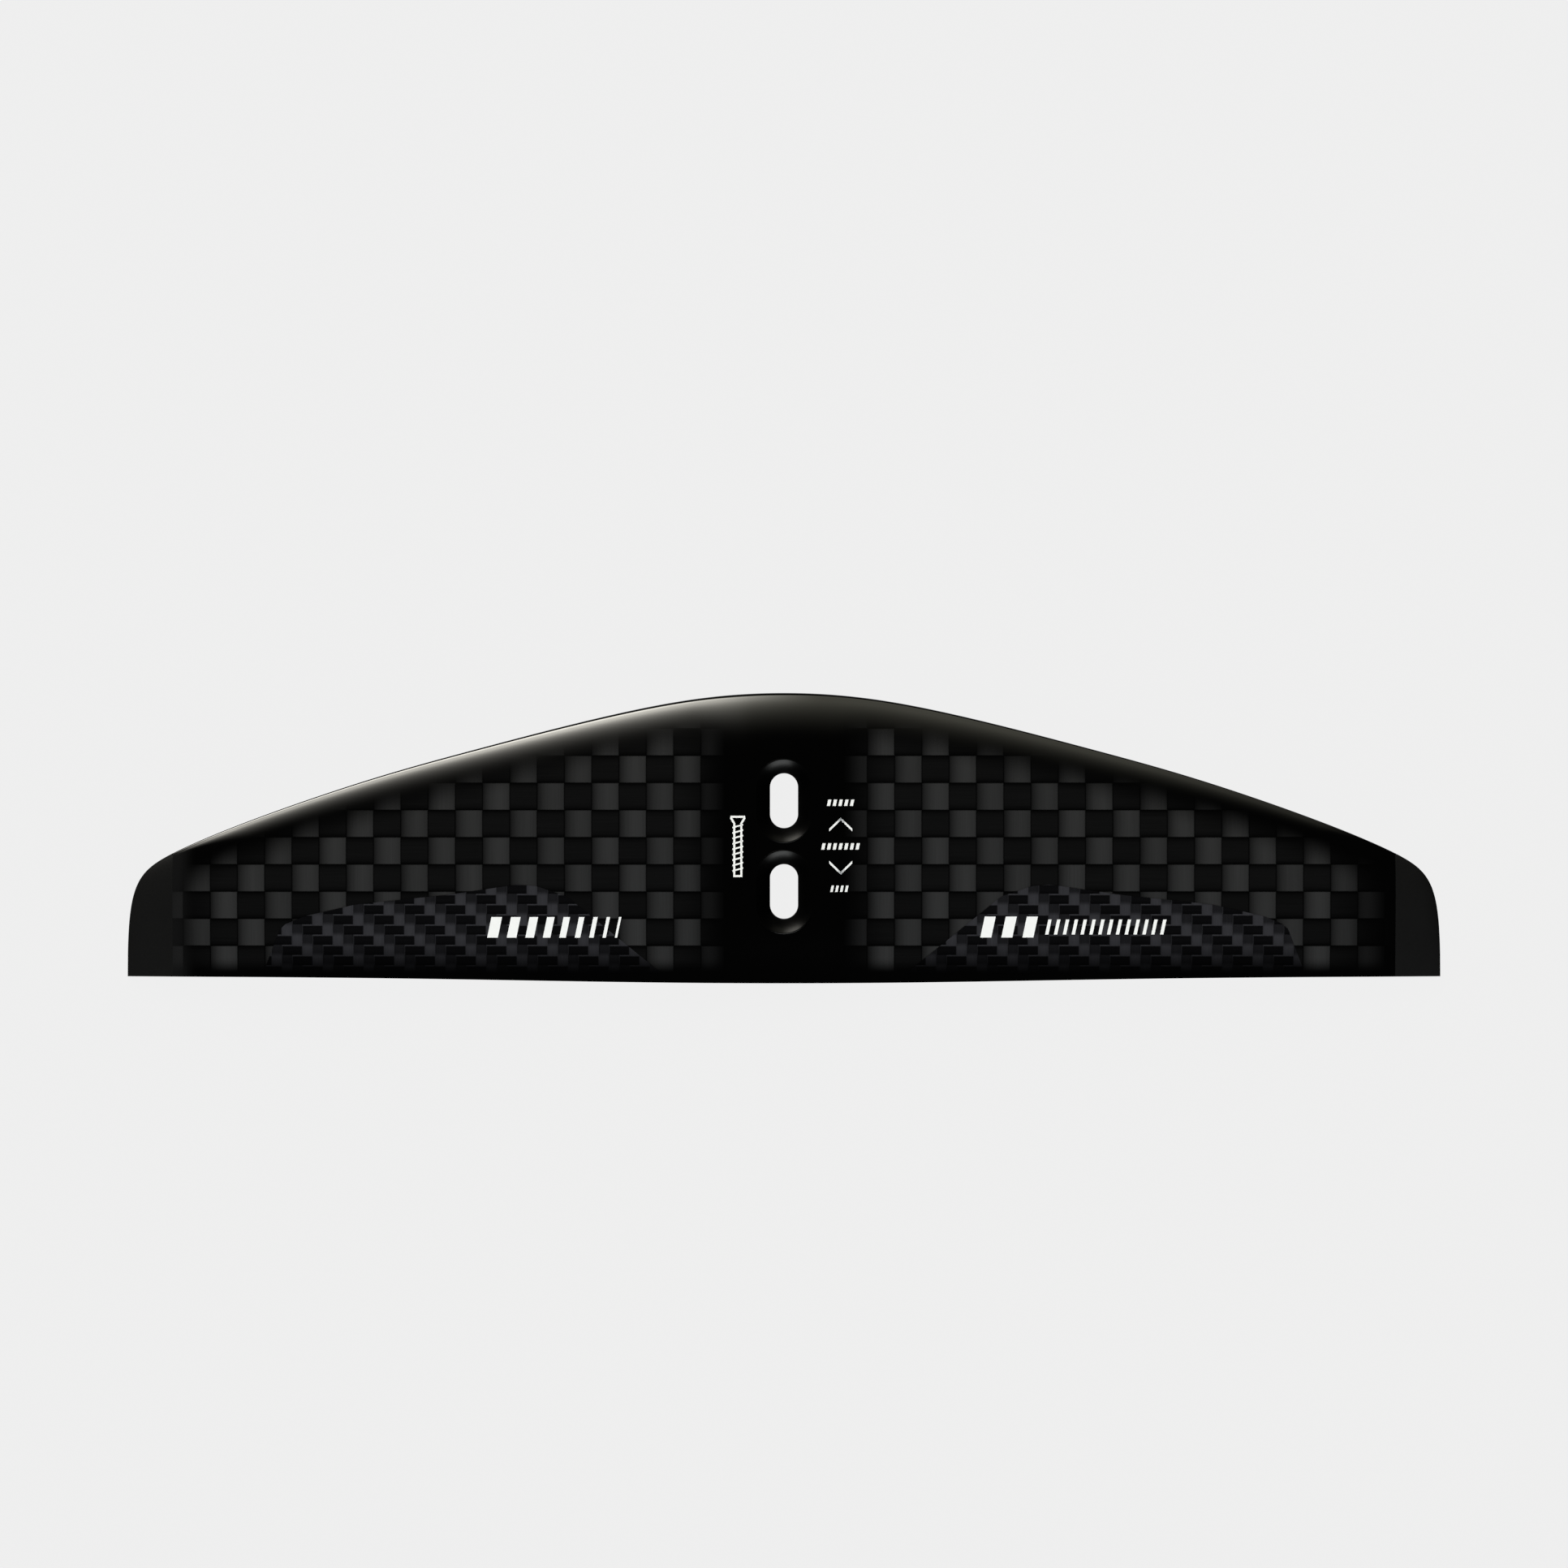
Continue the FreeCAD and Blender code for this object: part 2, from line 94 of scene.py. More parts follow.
MERGE_DISTANCE = 0.001 * MM
PLY_GAP = 0.005 * MM
SPARE_ATTRIBUTES = ("low", "wide", "tall", "slant", "rise", "middle_x", "middle_y")

Colour = tuple[float, float, float]
Point = tuple[float, float]


# ---------------------------------------------------------------- node trees


class Field:
    """Value in a node tree. Arithmetic on it adds Math nodes to the tree."""

    def __init__(self, graph: "Graph", socket: bpy.types.NodeSocket) -> None:
        """Keeps the tree that the value belongs to, and the socket that gives it."""
        self.graph = graph
        self.socket = socket

    def __add__(self, other: "Value") -> "Field":
        """Sum."""
        return self.graph.maths("ADD", self, other)

    def __radd__(self, other: "Value") -> "Field":
        """Sum, with a number on the left."""
        return self.graph.maths("ADD", other, self)

    def __sub__(self, other: "Value") -> "Field":
        """Difference."""
        return self.graph.maths("SUBTRACT", self, other)

    def __rsub__(self, other: "Value") -> "Field":
        """Difference, with a number on the left."""
        return self.graph.maths("SUBTRACT", other, self)

    def __mul__(self, other: "Value") -> "Field":
        """Product."""
        return self.graph.maths("MULTIPLY", self, other)

    def __rmul__(self, other: "Value") -> "Field":
        """Product, with a number on the left."""
        return self.graph.maths("MULTIPLY", other, self)

    def __truediv__(self, other: "Value") -> "Field":
        """Quotient."""
        return self.graph.maths("DIVIDE", self, other)

    def __rtruediv__(self, other: "Value") -> "Field":
        """Quotient, with a number on the left."""
        return self.graph.maths("DIVIDE", other, self)

    def __pow__(self, other: "Value") -> "Field":
        """Power."""
        return self.graph.maths("POWER", self, other)


Value = Union[Field, float, int]


class Graph:
    """Node tree with short ways to add nodes and to link them."""

    def __init__(self, tree: bpy.types.NodeTree) -> None:
        """Keeps the tree that this object writes to."""
        self.tree = tree

    def feed(self, socket: bpy.types.NodeSocket, value: object) -> None:
        """Links a value to an input, or sets the input to a constant.

        Args:
            socket: the input.
            value: a Field, an output socket, or a constant of the socket's kind.
        """
        if isinstance(value, Field):
            value = value.socket
        if isinstance(value, bpy.types.NodeSocket):
            self.tree.links.new(value, socket)
        else:
            socket.default_value = value

    def add(self, kind: str, inputs: dict | None = None, **settings: object) -> bpy.types.Node:
        """Adds a node.

        Args:
            kind: the node's type.
            inputs: what feeds its inputs, by their name or number.
            settings: the node's own properties.

        Returns:
            The node.
        """
        node = self.tree.nodes.new(kind)
        for name, setting in settings.items():
            setattr(node, name, setting)
        for key, value in (inputs or {}).items():
            self.feed(node.inputs[key], value)
        return node

    def out(self, node: bpy.types.Node, key: str | int = 0) -> Field:
        """One output of a node, as a Field."""
        return Field(self, node.outputs[key])

    def maths(self, operation: str, *values: Value, clamp: bool = False) -> Field:
        """Adds a Math node.

        Args:
            operation: its operation.
            values: its one to three inputs.
            clamp: True keeps the result between 0 and 1.

        Returns:
            The result.
        """
        inputs = dict(enumerate(values))
        node = self.add("ShaderNodeMath", inputs, operation=operation, use_clamp=clamp)
        return self.out(node)

    def steps(self, value: Value, start: Value, end: Value) -> Field:
        """Smooth step from 0 where the value is at start to 1 where it is at end."""
        ramp = self.add(
            "ShaderNodeMapRange",
            {"Value": value, "From Min": start, "From Max": end},
            interpolation_type="SMOOTHSTEP",
        )
        return self.out(ramp)

    def named(self, name: str) -> Field:
        """Attribute of the geometry, in a Geometry Nodes tree."""
        node = self.add("GeometryNodeInputNamedAttribute", {"Name": name}, data_type="FLOAT")
        return self.out(node)

    def store(
        self, geometry: bpy.types.NodeSocket, name: str, value: Field
    ) -> bpy.types.NodeSocket:
        """Writes a number for each point as an attribute.

        Args:
            geometry: the geometry.
            name: the attribute's name.
            value: the number.

        Returns:
            The geometry with the attribute.
        """
        node = self.add("GeometryNodeStoreNamedAttribute", {"Geometry": geometry, "Name": name})
        self.feed([s for s in node.inputs if s.name == "Value" and s.enabled][0], value)
        return node.outputs[0]

    def vector(self, x: Value, y: Value, z: Value) -> bpy.types.NodeSocket:
        """Vector with three coordinates."""
        return self.add("ShaderNodeCombineXYZ", {0: x, 1: y, 2: z}).outputs[0]

    def parts(self, vector: bpy.types.NodeSocket) -> list[Field]:
        """The three coordinates of a vector."""
        node = self.add("ShaderNodeSeparateXYZ", {0: vector})
        return [self.out(node, k) for k in range(3)]

    def here(self) -> list[Field]:
        """The three coordinates of each point, in a Geometry Nodes tree."""
        return self.parts(self.add("GeometryNodeInputPosition").outputs[0])

    def colour(self, red: Value, green: Value, blue: Value) -> bpy.types.NodeSocket:
        """Colour with three channels."""
        return self.add("ShaderNodeCombineColor", {0: red, 1: green, 2: blue}).outputs[0]

    def grid(self, across: Value, along: Value) -> bpy.types.NodeSocket:
        """Flat grid, one metre square about the origin, with so many vertices on its sides."""
        node = self.add("GeometryNodeMeshGrid", {"Size X": 1.0, "Size Y": 1.0})
        self.feed(node.inputs["Vertices X"], across)
        self.feed(node.inputs["Vertices Y"], along)
        return node.outputs[0]

    def count(self, mesh: bpy.types.NodeSocket) -> Field:
        """Number of vertices of a mesh."""
        return self.out(self.add("GeometryNodeAttributeDomainSize", {0: mesh}, component="MESH"))

    def sample(
        self, mesh: bpy.types.NodeSocket, value: object, index: Field, kind: str
    ) -> bpy.types.Node:
        """Reads a value at one point of a mesh.

        Args:
            mesh: the mesh.
            value: what is read.
            index: the point's number.
            kind: the value's data type.

        Returns:
            The node that reads it.
        """
        inputs = {"Geometry": mesh, "Value": value}
        node = self.add("GeometryNodeSampleIndex", inputs, data_type=kind)
        self.feed(node.inputs["Index"], index)
        return node

    def move(
        self, geometry: bpy.types.NodeSocket, place: bpy.types.NodeSocket, **chosen: object
    ) -> bpy.types.NodeSocket:
        """Moves the points of a geometry, or only those of its input Selection, to a place."""
        inputs = {"Geometry": geometry, "Position": place, **chosen}
        return self.add("GeometryNodeSetPosition", inputs).outputs[0]

    def extrude(self, mesh: bpy.types.NodeSocket, distance: Value) -> bpy.types.Node:
        """Extrudes the faces of a mesh together, straight up by a distance."""
        way = self.vector(0.0, 0.0, distance)
        return self.add(
            "GeometryNodeExtrudeMesh",
            {"Mesh": mesh, "Offset": way, "Offset Scale": 1.0, "Individual": False},
        )

    def close(self, *shells: bpy.types.NodeSocket) -> bpy.types.NodeSocket:
        """Joins shells and merges the points in which they meet."""
        joined = self.add("GeometryNodeJoinGeometry")
        for shell in shells:
            self.feed(joined.inputs[0], shell)
        inputs = {"Geometry": joined.outputs[0], "Distance": MERGE_DISTANCE}
        return self.add("GeometryNodeMergeByDistance", inputs).outputs[0]

    def turned(self, mesh: bpy.types.NodeSocket) -> bpy.types.NodeSocket:
        """Turns the faces of a mesh over."""
        return self.add("GeometryNodeFlipFaces", {"Mesh": mesh}).outputs[0]

    def deliver(self, geometry: bpy.types.NodeSocket, finish: bpy.types.NodeSocket) -> None:
        """Gives a geometry its finish and ends the tree with it."""
        whole = self.add("GeometryNodeRealizeInstances", {0: geometry})
        inputs = {"Geometry": whole.outputs[0], "Material": finish}
        dressed = self.add("GeometryNodeSetMaterial", inputs)
        self.add("NodeGroupOutput", {0: dressed.outputs[0]})


def label(name: str) -> str:
    """Name of the input that holds a size."""
    return name.replace("_", " ").capitalize()


class TreeMaker:
    """Geometry Nodes tree with named inputs, which turns an object's points into a piece."""

    def __init__(self, name: str, kinds: dict[str, str]) -> None:
        """Makes the empty tree.

        Args:
            name: the tree's name.
            kinds: the kind of each input beside the geometry, by its name.
        """
        self.tree = bpy.data.node_groups.new(name, "GeometryNodeTree")
        self.graph = Graph(self.tree)
        face = self.tree.interface
        face.new_socket("Points", in_out="INPUT", socket_type="NodeSocketGeometry")
        self.names: dict[str, str] = {}
        for key, kind in {**kinds, "Finish": "Material"}.items():
            made = face.new_socket(label(key), in_out="INPUT", socket_type=f"NodeSocket{kind}")
            self.names[key] = made.identifier
        face.new_socket("Piece", in_out="OUTPUT", socket_type="NodeSocketGeometry")
        self.inputs = self.graph.add("NodeGroupInput")

    def given(self, name: str) -> Field:
        """One number among the tree's inputs."""
        return self.graph.out(self.inputs, label(name))

    def run(self, made: bpy.types.Object, values: dict[str, object]) -> bpy.types.Object:
        """Runs the tree on an object and settles the result.

        Args:
            made: the object.
            values: the tree's inputs, by their names.

        Returns:
            The same object, with a plain mesh.
        """
        modifier = made.modifiers.new("maker", "NODES")
        modifier.node_group = self.tree
        for name, value in values.items():
            modifier[self.names[name]] = value
        return settle(made)


# ---------------------------------------------------------------- the wing's form


@dataclass(frozen=True)
class PlanForm:
    """Outline of the wing from above, symmetric about X = 0.

    The right half's leading edge is one cubic B-spline from the nose to the back corner of the tip,
    and its trailing edge one cubic Bezier curve. Their poles are shares of the half span and of the
    root chord behind the nose.
    """

    half_span: float = 197.0 * MM
    root_chord: float = 87.0 * MM
    root_front: float = 45.9 * MM
    knots: tuple[float, ...] = (0, 0, 0, 0, 0.2, 0.4, 0.6, 0.8, 1, 1, 1, 1)
    nose_poles: tuple[Point, ...] = (
        (0.0, 0.0),
        (0.085, 0.0),
        (0.221, 0.045),
        (0.484, 0.203),
        (0.657, 0.309),
        (0.979, 0.574),
        (1.0, 0.666),
        (1.0, 0.977),
    )
    tail_poles: tuple[Point, ...] = ((0.0, 1.0), (0.335, 1.0), (0.457, 0.979), (1.0, 0.977))

    def nose_at(self, parameter: float) -> Point:
        """Point of the leading edge, in the outline's own shares, by De Boor's algorithm."""
        knots = self.knots
        span = 3
        while span < len(self.nose_poles) - 1 and parameter >= knots[span + 1]:
            span += 1
        level = [self.nose_poles[span - 3 + k] for k in range(4)]
        for step in range(1, 4):
            for k in range(3, step - 1, -1):
                low = knots[span - 3 + k]
                high = knots[span + 1 + k - step]
                share = (parameter - low) / (high - low)
                before, here = level[k - 1], level[k]
                level[k] = tuple((1 - share) * a + share * b for a, b in zip(before, here))
        return level[3]

    def tail_at(self, parameter: float) -> Point:
        """Point of the trailing edge, in the outline's own shares."""
        rest = 1 - parameter
        weights = (rest**3, 3 * rest**2 * parameter, 3 * rest * parameter**2, parameter**3)
        return tuple(sum(w * pole[k] for w, pole in zip(weights, self.tail_poles)) for k in (0, 1))

    def y_on(self, edge: Callable[[float], Point], x: float) -> float:
        """Height of an edge of the outline on the page.

        Args:
            edge: nose_at or tail_at.
            x: where along the span.

        Returns:
            Y of the edge there.
        """
        wanted = abs(x) / self.half_span
        low, high = 0.0, 1.0
        for _ in range(40):
            middle = (low + high) / 2
            if edge(middle)[0] < wanted:
                low = middle
            else:
                high = middle
        return self.root_front - edge((low + high) / 2)[1] * self.root_chord

    def front(self, x: float) -> float:
        """Y of the leading edge."""
        return self.y_on(self.nose_at, x)

    def back(self, x: float) -> float:
        """Y of the trailing edge."""
        return self.y_on(self.tail_at, x)

    def share(self, x: float, y: float) -> float:
        """Share of the local chord that lies ahead of a point."""
        return (self.front(x) - y) / (self.front(x) - self.back(x))

    def along(self, first: float, last: float, pitch: float) -> list[float]:
        """Sections from first to last, closer together where the tip's outline turns.

        Args:
            first: X of the first section.
            last: X of the last one.
            pitch: distance between sections away from the tips.

        Returns:
            X of each section.
        """
        made = [first]
        while made[-1] < last:
            to_tip = self.half_span - abs(made[-1])
            step = min(pitch, max(pitch * 0.03, to_tip * 0.12))
            made.append(min(last, made[-1] + step))
        return made


@dataclass(frozen=True)
class Section:
    """Sizes of the wing's section, which every shell's tree takes as named inputs."""

    half_span: float = 197.0 * MM
    hub_top: float = 10.0 * MM
    hub_low: float = 4.6 * MM
    hub_half: float = 10.0 * MM
    hub_blend: float = 17.0 * MM
    parting_height: float = 4.0 * MM
    crown_ratio: float = 0.062
    belly_ratio: float = 0.031
    tip_thinning: float = 0.2
    edge_thickness: float = 0.8 * MM
    tip_round: float = 7.0 * MM
    tip_drop: float = 3.2 * MM
    droop_length: float = 37.0 * MM
    crown_flat_from: float = 0.30
    crown_flat_to: float = 0.76
    belly_flat_from: float = 0.22
    belly_flat_to: float = 0.84
    skin: float = 0.9 * MM
    film: float = 0.12 * MM
    ply: float = 0.055 * MM


class Layer(Enum):
    """Which surfaces bound a shell."""

    TOP_SKIN = "top skin"
    BOTTOM_SKIN = "bottom skin"
    WHOLE = "both faces"
    PLY = "ply on the top skin"


class ShellTree(TreeMaker):
    """Geometry Nodes tree that turns a line of stations into a closed shell of the wing.

    Each vertex of the line is one section. Its attributes give the Y of the two ends of the chord,
    front and back, and the shares of the chord, first and last, that the shell covers.
    """

    def __init__(self, layer: Layer, section: Section) -> None:
        """Writes the tree.

        Args:
            layer: which surfaces bound the shell.
            section: the sizes that become the tree's inputs.
        """
        kinds = {"Chord steps": "Int", "Cutter": "Object", "Recess": "Object"}
        kinds.update({size.name: "Float" for size in fields(section)})
        super().__init__(f"shell {layer.value}", kinds)
        self._nodes(layer)

    def _sampled(self, name: str, row: Field) -> Field:
        """Attribute of the station that a row of the grid stands on."""
        graph = self.graph
        points = self.inputs.outputs["Points"]
        return graph.out(graph.sample(points, graph.named(name), row, "FLOAT"))

    def _bulge(self, share: Field) -> Field:
        """Half thickness of a plain section over its largest value."""
        graph = self.graph
        curve = 0.2969 * graph.maths("SQRT", share) - 0.1260 * share - 0.3516 * share**2
        return 10 * (curve + 0.2843 * share**3 - 0.1015 * share**4)

    def _plateau(self, share: Field, start: Field, end: Field) -> Field:
        """Half thickness of the hub over its largest value: a round nose, a flat and a ramp."""
        graph = self.graph
        ahead = graph.maths("MAXIMUM", 1 - share / start, 0)
        nose = graph.maths("SQRT", graph.maths("MAXIMUM", 1 - ahead * ahead, 0))
        ramp = graph.maths("MAXIMUM", (share - end) / (1 - end), 0)
        return nose * (1 + graph.maths("COSINE", math.pi * ramp)) / 2

    def _rise(self, place: dict[str, Field], ratio: Field, height: Field, flat: str) -> Field:
        """Distance from the parting surface to one face of the wing.

        Args:
            place: the fields share, chord, thin and hub.
            ratio: half thickness of a plain section over its chord.
            height: the same distance on the hub.
            flat: "crown" or "belly", whose flat the hub has.

        Returns:
            The distance.
        """
        share = place["share"]
        edge = self.given("edge_thickness") / 2 * share
        plain = edge + ratio * place["chord"] * place["thin"] * self._bulge(share)
        level = self._plateau(share, self.given(f"{flat}_flat_from"), self.given(f"{flat}_flat_to"))
        full = edge * (1 - level) + height * level
        return plain + place["hub"] * (full - plain)

    def _nodes(self, layer: Layer) -> None:
        """Writes the nodes: a grid over the stations, its two faces, and the walls between."""
        graph = self.graph
        count = graph.count(self.inputs.outputs["Points"])
        grid = graph.grid(count, self.given("Chord steps"))
        across, along, _ = graph.here()
        row = graph.maths("ROUND", (across + 0.5) * (count - 1))
        behind = 0.5 - along

        x, front, back = (self._sampled(name, row) for name in ("station", "front", "back"))
        first, last = (self._sampled(name, row) for name in ("first", "last"))
        eased = 1 - graph.maths("COSINE", behind * (math.pi / 2))
        share = first + (last - first) * eased
        out = graph.maths("ABSOLUTE", x)
        half = self.given("half_span")
        droop = graph.maths("MAXIMUM", out - half + self.given("droop_length"), 0)
        droop = droop / self.given("droop_length")
        seam = self.given("parting_height") - self.given("tip_drop") * droop * droop
        rounding = graph.maths("MAXIMUM", out - half + self.given("tip_round"), 0)
        rounding = rounding / self.given("tip_round")
        rounding = graph.maths("SQRT", graph.maths("MAXIMUM", 1 - rounding * rounding, 0))
        place = {
            "share": share,
            "chord": front - back,
            "thin": (1 - self.given("tip_thinning") * out / half) * rounding,
            "hub": 1 - graph.steps((out - self.given("hub_half")) / self.given("hub_blend"), 0, 1),
        }
        top = self.given("hub_top") - self.given("parting_height")
        crown = seam + self._rise(place, self.given("crown_ratio"), top, "crown")
        belly = seam - self._rise(place, self.given("belly_ratio"), self.given("hub_low"), "belly")
        belly = graph.maths("MAXIMUM", belly, 0)
        film = self.given("film") * graph.steps(share, 0, 0.02)
        outer = crown - film
        skin = self.given("skin")
        heights = {
            Layer.TOP_SKIN: (outer, graph.maths("MAXIMUM", seam, outer - skin)),
            Layer.BOTTOM_SKIN: (graph.maths("MINIMUM", seam, belly + skin), belly),
            Layer.WHOLE: (outer, belly),
            Layer.PLY: (outer + self.given("ply") + PLY_GAP, outer + PLY_GAP),
        }
        high, low = heights[layer]
        y = front - share * (front - back)
        inset = graph.store(grid, "inset", (front - y) / MM)
        self._close(inset, (x, y, high, low), cut=layer is not Layer.WHOLE)

    def _close(self, grid: bpy.types.NodeSocket, place: Sequence[Field], cut: bool) -> None:
        """Closes the grid into a shell, cuts it, and gives it its finish.

        Args:
            grid: the flat grid.
            place: the fields x, y, height of the upper face and height of the lower one.
            cut: True where the inputs Cutter and Recess are taken away.
        """
        graph = self.graph
        x, y, high, low = place
        upper = graph.move(graph.store(grid, "low", low), graph.vector(x, y, high))
        down = graph.extrude(upper, -MM)
        now_x, now_y, _ = graph.here()
        floor = graph.vector(now_x, now_y, graph.named("low"))
        lower = graph.move(down.outputs["Mesh"], floor, Selection=down.outputs["Top"])
        shell = graph.close(upper, graph.turned(lower))
        if cut:
            taken = graph.add("GeometryNodeMeshBoolean", operation="DIFFERENCE", solver="EXACT")
            graph.feed(taken.inputs["Mesh 1"], shell)
            for name in ("Cutter", "Recess"):
                tool = graph.add("GeometryNodeObjectInfo", {"Object": self.inputs.outputs[name]})
                graph.feed(taken.inputs["Mesh 2"], tool.outputs["Geometry"])
            shell = taken.outputs[0]
        smooth = graph.add("GeometryNodeSetShadeSmooth", {"Geometry": shell})
        graph.deliver(smooth.outputs[0], self.inputs.outputs["Finish"])


# ---------------------------------------------------------------- making pieces


def settle(made: bpy.types.Object, crease: float = 35.0) -> bpy.types.Object:
    """Turns an object's modifiers into its mesh.

    Args:
        made: the object.
        crease: angle in degrees past which an edge is sharp.

    Returns:
        The same object, with a plain mesh and no modifier.
    """
    seen = made.evaluated_get(bpy.context.evaluated_depsgraph_get())
    mesh = bpy.data.meshes.new_from_object(seen)
    made.modifiers.clear()
    made.data = mesh
    mesh.name = made.name
    for spare in [a.name for a in mesh.attributes if a.name in SPARE_ATTRIBUTES]:
        mesh.attributes.remove(mesh.attributes[spare])
    mesh.set_sharp_from_angle(angle=math.radians(crease))
    return made


def new_object(
    name: str, points: Iterable[Vector], faces: Iterable[Sequence[int]] = ()
) -> bpy.types.Object:
    """Object with a mesh made from points and faces, linked to the scene."""
    mesh = bpy.data.meshes.new(name)
    mesh.from_pydata([tuple(p) for p in points], [], [tuple(f) for f in faces])
    made = bpy.data.objects.new(name, mesh)
    bpy.context.scene.collection.objects.link(made)
    return made


def store(mesh: bpy.types.Mesh, name: str, values: Sequence[float]) -> None:
    """Writes one number for each vertex as an attribute of a mesh."""
    mesh.attributes.new(name, "FLOAT", "POINT").data.foreach_set("value", list(values))


def discard(spare: bpy.types.Object) -> None:
    """Removes a helper object."""
    bpy.data.objects.remove(spare, do_unlink=True)


@dataclass(frozen=True)
class SlotOutline:
    """A slot that runs fore and aft: two half circles joined by straight sides."""

    centre: float
    straight: float

    def ring(self, radius: float, height: float, corners: int = 96) -> list[Vector]:
        """Points around the slot at one height."""
        points = []
        for k in range(corners):
            angle = (k + 0.5) * math.tau / corners
            shift = math.copysign(self.straight / 2, math.sin(angle))
            y = self.centre + shift + radius * math.sin(angle)
            points.append(Vector((radius * math.cos(angle), y, height)))
        return points


def prism(name: str, rings: Sequence[Sequence[Vector]]) -> bpy.types.Object:
    """Closed solids between pairs of rings, each pair a lower and an upper outline."""
    points: list[Vector] = []
    faces: list[Sequence[int]] = []
    for low, high in zip(rings[::2], rings[1::2]):
        start, count = len(points), len(low)
        points += list(low) + list(high)
        below = range(start, start + count)
        above = range(start + count, start + 2 * count)
        faces += [list(reversed(below)), list(above)]
        for k in range(count):
            after = (k + 1) % count
            faces.append((below[k], below[after], above[after], above[k]))
    return new_object(name, points, faces)


# ---------------------------------------------------------------- finishes


@dataclass(frozen=True)
class Finish:
    """A surface finish. Each kind writes its own pattern in pattern()."""

    name: str
    roughness: float = 0.4
    coat: float = 0.0
    coat_roughness: float = 0.03
    specular: float = 0.5
    bump: float = 0.02 * MM

    def pattern(self, graph: Graph, x: Field, y: Field, z: Field) -> tuple[object, Field]:
        """Colour and height of the surface, from coordinates in millimetres."""
        raise NotImplementedError

    def build(self) -> bpy.types.Material:
        """Makes the material."""
        material = bpy.data.materials.new(self.name)
        material.use_nodes = True
        graph = Graph(material.node_tree)
        shader = material.node_tree.nodes["Principled BSDF"]
        coordinates = graph.add("ShaderNodeTexCoord").outputs["Object"]
        scaled = graph.add(
            "ShaderNodeVectorMath", {0: coordinates, 3: 1 / MM}, operation="SCALE"
        )
        colour, height = self.pattern(graph, *graph.parts(scaled.outputs[0]))
        inputs = {"Strength": 1.0, "Distance": self.bump, "Height": height}
        bump = graph.add("ShaderNodeBump", inputs)
        graph.feed(shader.inputs["Base Color"], colour)
        graph.feed(shader.inputs["Normal"], bump.outputs[0])
        shader.inputs["Roughness"].default_value = self.roughness
        shader.inputs["Specular IOR Level"].default_value = self.specular
        shader.inputs["Coat Weight"].default_value = self.coat
        shader.inputs["Coat Roughness"].default_value = self.coat_roughness
        return material


def noise(graph: Graph, place: Sequence[Value], scale: float, detail: float = 2.0) -> Field:
    """Noise between 0 and 1 at a place given by three coordinates."""
    spot = graph.vector(*place)
    node = graph.add(
        "ShaderNodeTexNoise", {"Vector": spot, "Scale": scale, "Detail": detail}
    )
    return graph.out(node, 0)


def lane(graph: Graph, number: Field, salt: float) -> Field:
    """Number between 0 and 1 that is the same along a whole tow."""
    node = graph.add("ShaderNodeTexWhiteNoise", noise_dimensions="1D")
    graph.feed(node.inputs["W"], number + salt)
    return graph.out(node, 0)


